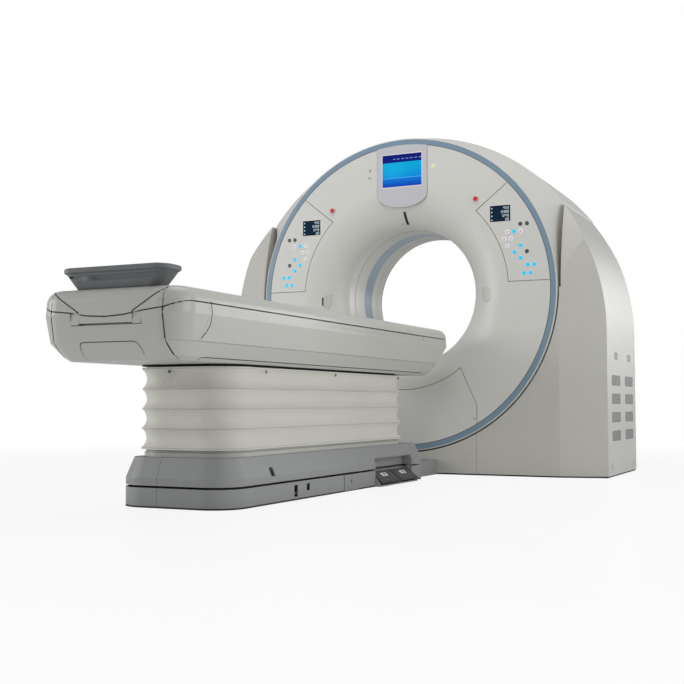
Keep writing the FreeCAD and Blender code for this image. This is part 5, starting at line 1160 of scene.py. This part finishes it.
class Trims(bpy.types.Operator):
    """Lays dark strips of painted shadow at the floor round the base and the stands, and the covers of the
    flare's dimples
    """
    bl_idname = "scanner.trims"
    bl_label = "Floor_shadows and dimples"

    PROUD = 0.0006                          # how far the base's painted floor shadow stands out
    SKIRT, STAND_TOP = (0.0003, 0.0065), 0.009      # heights of the base's painted floor shadow, top of the stands' one
    RINGS = (                               # a dimple cover's shares of its outline and of its lift
        (0.0, 1.0), (0.3, 0.98), (0.6, 0.9), (0.85, 0.7), (0.97, 0.45), (1.0, 0.15), (1.0, -1.0),
    )
    CROWN, SQUARE = 0.0022, 0.75            # its lift in the middle and the power of its outline
    SLOT_HALF, SLOT_DEPTH = 0.024, (-0.0035, 0.004)     # half height, and front and back from the flare

    def floor_shadow_band(self, outer, inner, low, high):
        """A low band between two plan outlines and two heights: outline times four corners."""
        loops = [np.hstack([plan, np.full((len(plan), 1), height)])
                 for plan, height in ((inner, high), (outer, high), (outer, low), (inner, low))]
        points = np.stack(loops, 1)
        points = np.concatenate([points, points[:1]])
        return points.reshape(-1, 3), grid_faces(len(points), 4, wrap=True)

    def base_plan(self, out):
        return rounded_path(BASE_HALF + out, (BASE_ENDS[0] - out, BASE_ENDS[1] + out),
                            tuple(corner + out for corner in BASE_CORNERS))

    def stand_plan(self, inset):
        right = np.array(STAND_PLAN) - np.array([(0, -1), (1, -1), (1, 1), (0, 1)]) * inset
        return np.vstack([right, right[::-1] * (-1, 1)])

    def dimple(self, side):
        """Rings of a superellipse whose depth is the flare's less a crown that falls to the rim, and
        a rim that turns into the flare."""
        share, lift = np.array(self.RINGS).T
        turn = np.linspace(0, 2 * math.pi, 48, endpoint=False)
        round_x, round_z = [np.sign(wave) * np.abs(wave) ** self.SQUARE * half
                            for wave, half in zip((np.cos(turn), np.sin(turn)), DIMPLE_HALF)]
        x = side * DIMPLE_AT[0] + share[:, None] * round_x[None]
        z = DIMPLE_AT[1] + share[:, None] * round_z[None]
        y = face_depth(np.hypot(x, z - ISO)) - lift[:, None] * self.CROWN
        return np.stack([x, y, z], -1).reshape(-1, 3), grid_faces(len(share), 48, wrap=True)

    def execute(self, context):
        # painted shadow: dark strips round the foot of the base and of the stands, where they meet the floor
        dark = moulded("floor_shadow_paint", rgb(40, 34, 31), 0.6, 0.05)
        base = self.floor_shadow_band(self.base_plan(self.PROUD), self.base_plan(-0.001), *self.SKIRT)
        stand = self.floor_shadow_band(self.stand_plan(0.0), self.stand_plan(0.005), self.SKIRT[0], self.STAND_TOP)
        piece("base_floor_shadow", *base, dark, "floor_stand", "base_grey")
        piece("stand_floor_shadow", *stand, dark, "floor_stand", "base_grey", smooth=False)
        covers = gather([self.dimple(-1), self.dimple(1)])
        piece("dimple_covers", *covers, moulded("dimple_moulding", rgb(190, 191, 183), 0.4),
              "gantry_drum", "cover_white")
        x, half = LEFT_SLOT
        z = DIMPLE_AT[1]
        depth = face_depth(math.hypot(x, z - ISO)) + np.array(self.SLOT_DEPTH)
        slot = slab((x - half, x + half), depth, (z - self.SLOT_HALF, z + self.SLOT_HALF))
        piece("dimple_slot", *slot, glossy("slot_black", rgb(16, 15, 15), 0.4), "gantry_drum",
              "cover_white", smooth=False)
        return {"FINISHED"}


class Stage(bpy.types.Operator):
    """Sets the pale floor, the soft lamps, the camera and the plain view"""
    bl_idname = "scanner.stage"
    bl_label = "Stage"

    REACH, LEVEL = 30.0, -0.0005        # half size of the floor and its height
    MIDDLE_Y = -0.9                     # middle of the object on the floor
    FADE, GLOW = (2.2, 6.0), (0.87, 0.13)       # distances over which the glow, given first, gains

    def floor(self):
        """A pale floor with a soft mirror, which also glows for the camera: a little less near the
        object, and not at all under the stands."""
        mesh = bpy.data.meshes.new("floor")
        corners = np.array([(-1, -1), (1, -1), (1, 1), (-1, 1)]) * self.REACH
        points = np.hstack([corners, np.full((4, 1), self.LEVEL)])
        mesh.from_pydata(points.tolist(), [], [(0, 1, 2, 3)])
        floor = bpy.data.objects.new("floor", mesh)
        bpy.context.scene.collection.objects.link(floor)
        paint = Paint("pale_floor", Specular_IOR_Level=0.5)
        east, north, _ = paint.axes()
        along = north - self.MIDDLE_Y
        away = (east * east + along * along) ** 0.5
        paint.set(Base_Color=rgb(246, 247, 248), Roughness=paint.noise(3.0) * 0.04 + 0.16)
        ray = paint.add("LightPath", {}, {}, "Is Camera Ray")
        glow = paint.add("Emission", {}, {"Color": rgb(255, 255, 255), "Strength": 1.0})
        inside = (abs(east) < STAND_PLAN[1][0]) * (north > STAND_PLAN[1][1]) * (north < STAND_PLAN[2][1])
        near, gain = self.GLOW
        share = (away.ramp(*self.FADE) * gain + near) * ray * (1 - inside)
        output = paint.tree.nodes["Material Output"]
        both = paint.add("MixShader", {}, {0: share, 1: Value(paint, paint.surface.outputs[0]), 2: glow})
        paint.tree.links.new(both.socket, output.inputs[0])
        mesh.materials.append(paint.done())

    def sky(self):
        world = bpy.data.worlds.new("studio")
        bpy.context.scene.world = world
        world.use_nodes = True
        tree = world.node_tree
        path = tree.nodes.new("ShaderNodeLightPath")
        seen = tree.nodes.new("ShaderNodeMath")
        seen.operation = "MAXIMUM"
        tree.links.new(path.outputs["Is Camera Ray"], seen.inputs[0])
        tree.links.new(path.outputs["Is Transmission Ray"], seen.inputs[1])
        white = tree.nodes.new("ShaderNodeBackground")
        white.inputs[0].default_value = (1, 1, 1, 1)
        soft = tree.nodes["Background"]
        soft.inputs[0].default_value = (0.98, 0.99, 1.0, 1)
        soft.inputs[1].default_value = bpy.context.scene.scanner_stage.sky
        mix = tree.nodes.new("ShaderNodeMixShader")
        tree.links.new(seen.outputs[0], mix.inputs[0])
        tree.links.new(soft.outputs[0], mix.inputs[1])
        tree.links.new(white.outputs[0], mix.inputs[2])
        tree.links.new(mix.outputs[0], tree.nodes["World Output"].inputs[0])

    def lamp(self, name, power, size, place, target):
        data = bpy.data.lights.new(name, "AREA")
        data.shape, data.size, data.energy = "DISK", size, power
        lamp = bpy.data.objects.new(name, data)
        lamp.location = place
        aim = Vector(target) - Vector(place)
        lamp.rotation_euler = aim.to_track_quat("-Z", "Y").to_euler()
        bpy.context.scene.collection.objects.link(lamp)

    def execute(self, context):
        scene, stage = context.scene, context.scene.scanner_stage
        self.floor()
        self.sky()
        self.lamp("key", stage.key, 3.0, (0.3, -1.8, 4.4), (0, -0.3, 0.9))
        self.lamp("fill", stage.fill, 3.0, (5.2, -2.4, 1.9), (0.3, -0.6, 0.6))
        self.lamp("side", stage.fill * 1.75, 3.0, (-5.0, -4.8, 1.8), (-0.4, -0.9, 0.7))
        self.lamp("rear", stage.fill * 1.1, 2.5, (3.4, 4.4, 1.8), (-0.3, 0.0, 1.0))
        data = bpy.data.cameras.new("camera")
        data.sensor_width, data.lens = 36.0, stage.lens
        camera = bpy.data.objects.new("camera", data)
        camera.location = stage.eye
        camera.rotation_euler = (math.pi / 2 + stage.pitch, 0.0, stage.yaw)
        scene.collection.objects.link(camera)
        scene.camera = camera
        scene.view_settings.view_transform = "Standard"
        return {"FINISHED"}


PIECES = (Covers, Works, Displays, Keys, RingTrim, Seals, CouchSeams, Bellows, Vents, Pedals, Trims,
          Stage)


class ScannerPanel(bpy.types.Panel):
    """Lists the sizes, the colours and the steps of the finish"""
    bl_idname = "VIEW3D_PT_scanner"
    bl_label = "Scanner"
    bl_space_type = "VIEW_3D"
    bl_region_type = "UI"
    bl_category = "Scanner"

    def draw(self, context):
        for group in GROUPS:
            box = self.layout.box()
            for name in GROUPS[group].__annotations__:
                box.prop(getattr(context.scene, group), name)
        for step in PIECES:
            self.layout.operator(step.bl_idname)


GROUPS = {"scanner_colours": ScannerColours, "scanner_sizes": ScannerSizes,
          "scanner_stage": ScannerStage}


def register():
    for kind in (*GROUPS.values(), *PIECES, ScannerPanel):
        bpy.utils.register_class(kind)
    for name, kind in GROUPS.items():
        setattr(bpy.types.Scene, name, PointerProperty(type=kind))


def unregister():
    for name in GROUPS:
        delattr(bpy.types.Scene, name)
    for kind in reversed((*GROUPS.values(), *PIECES, ScannerPanel)):
        bpy.utils.unregister_class(kind)


def main():
    register()
    for step in PIECES:
        group, name = step.bl_idname.split(".")
        getattr(getattr(bpy.ops, group), name)()


if __name__ == "__main__":
    main()
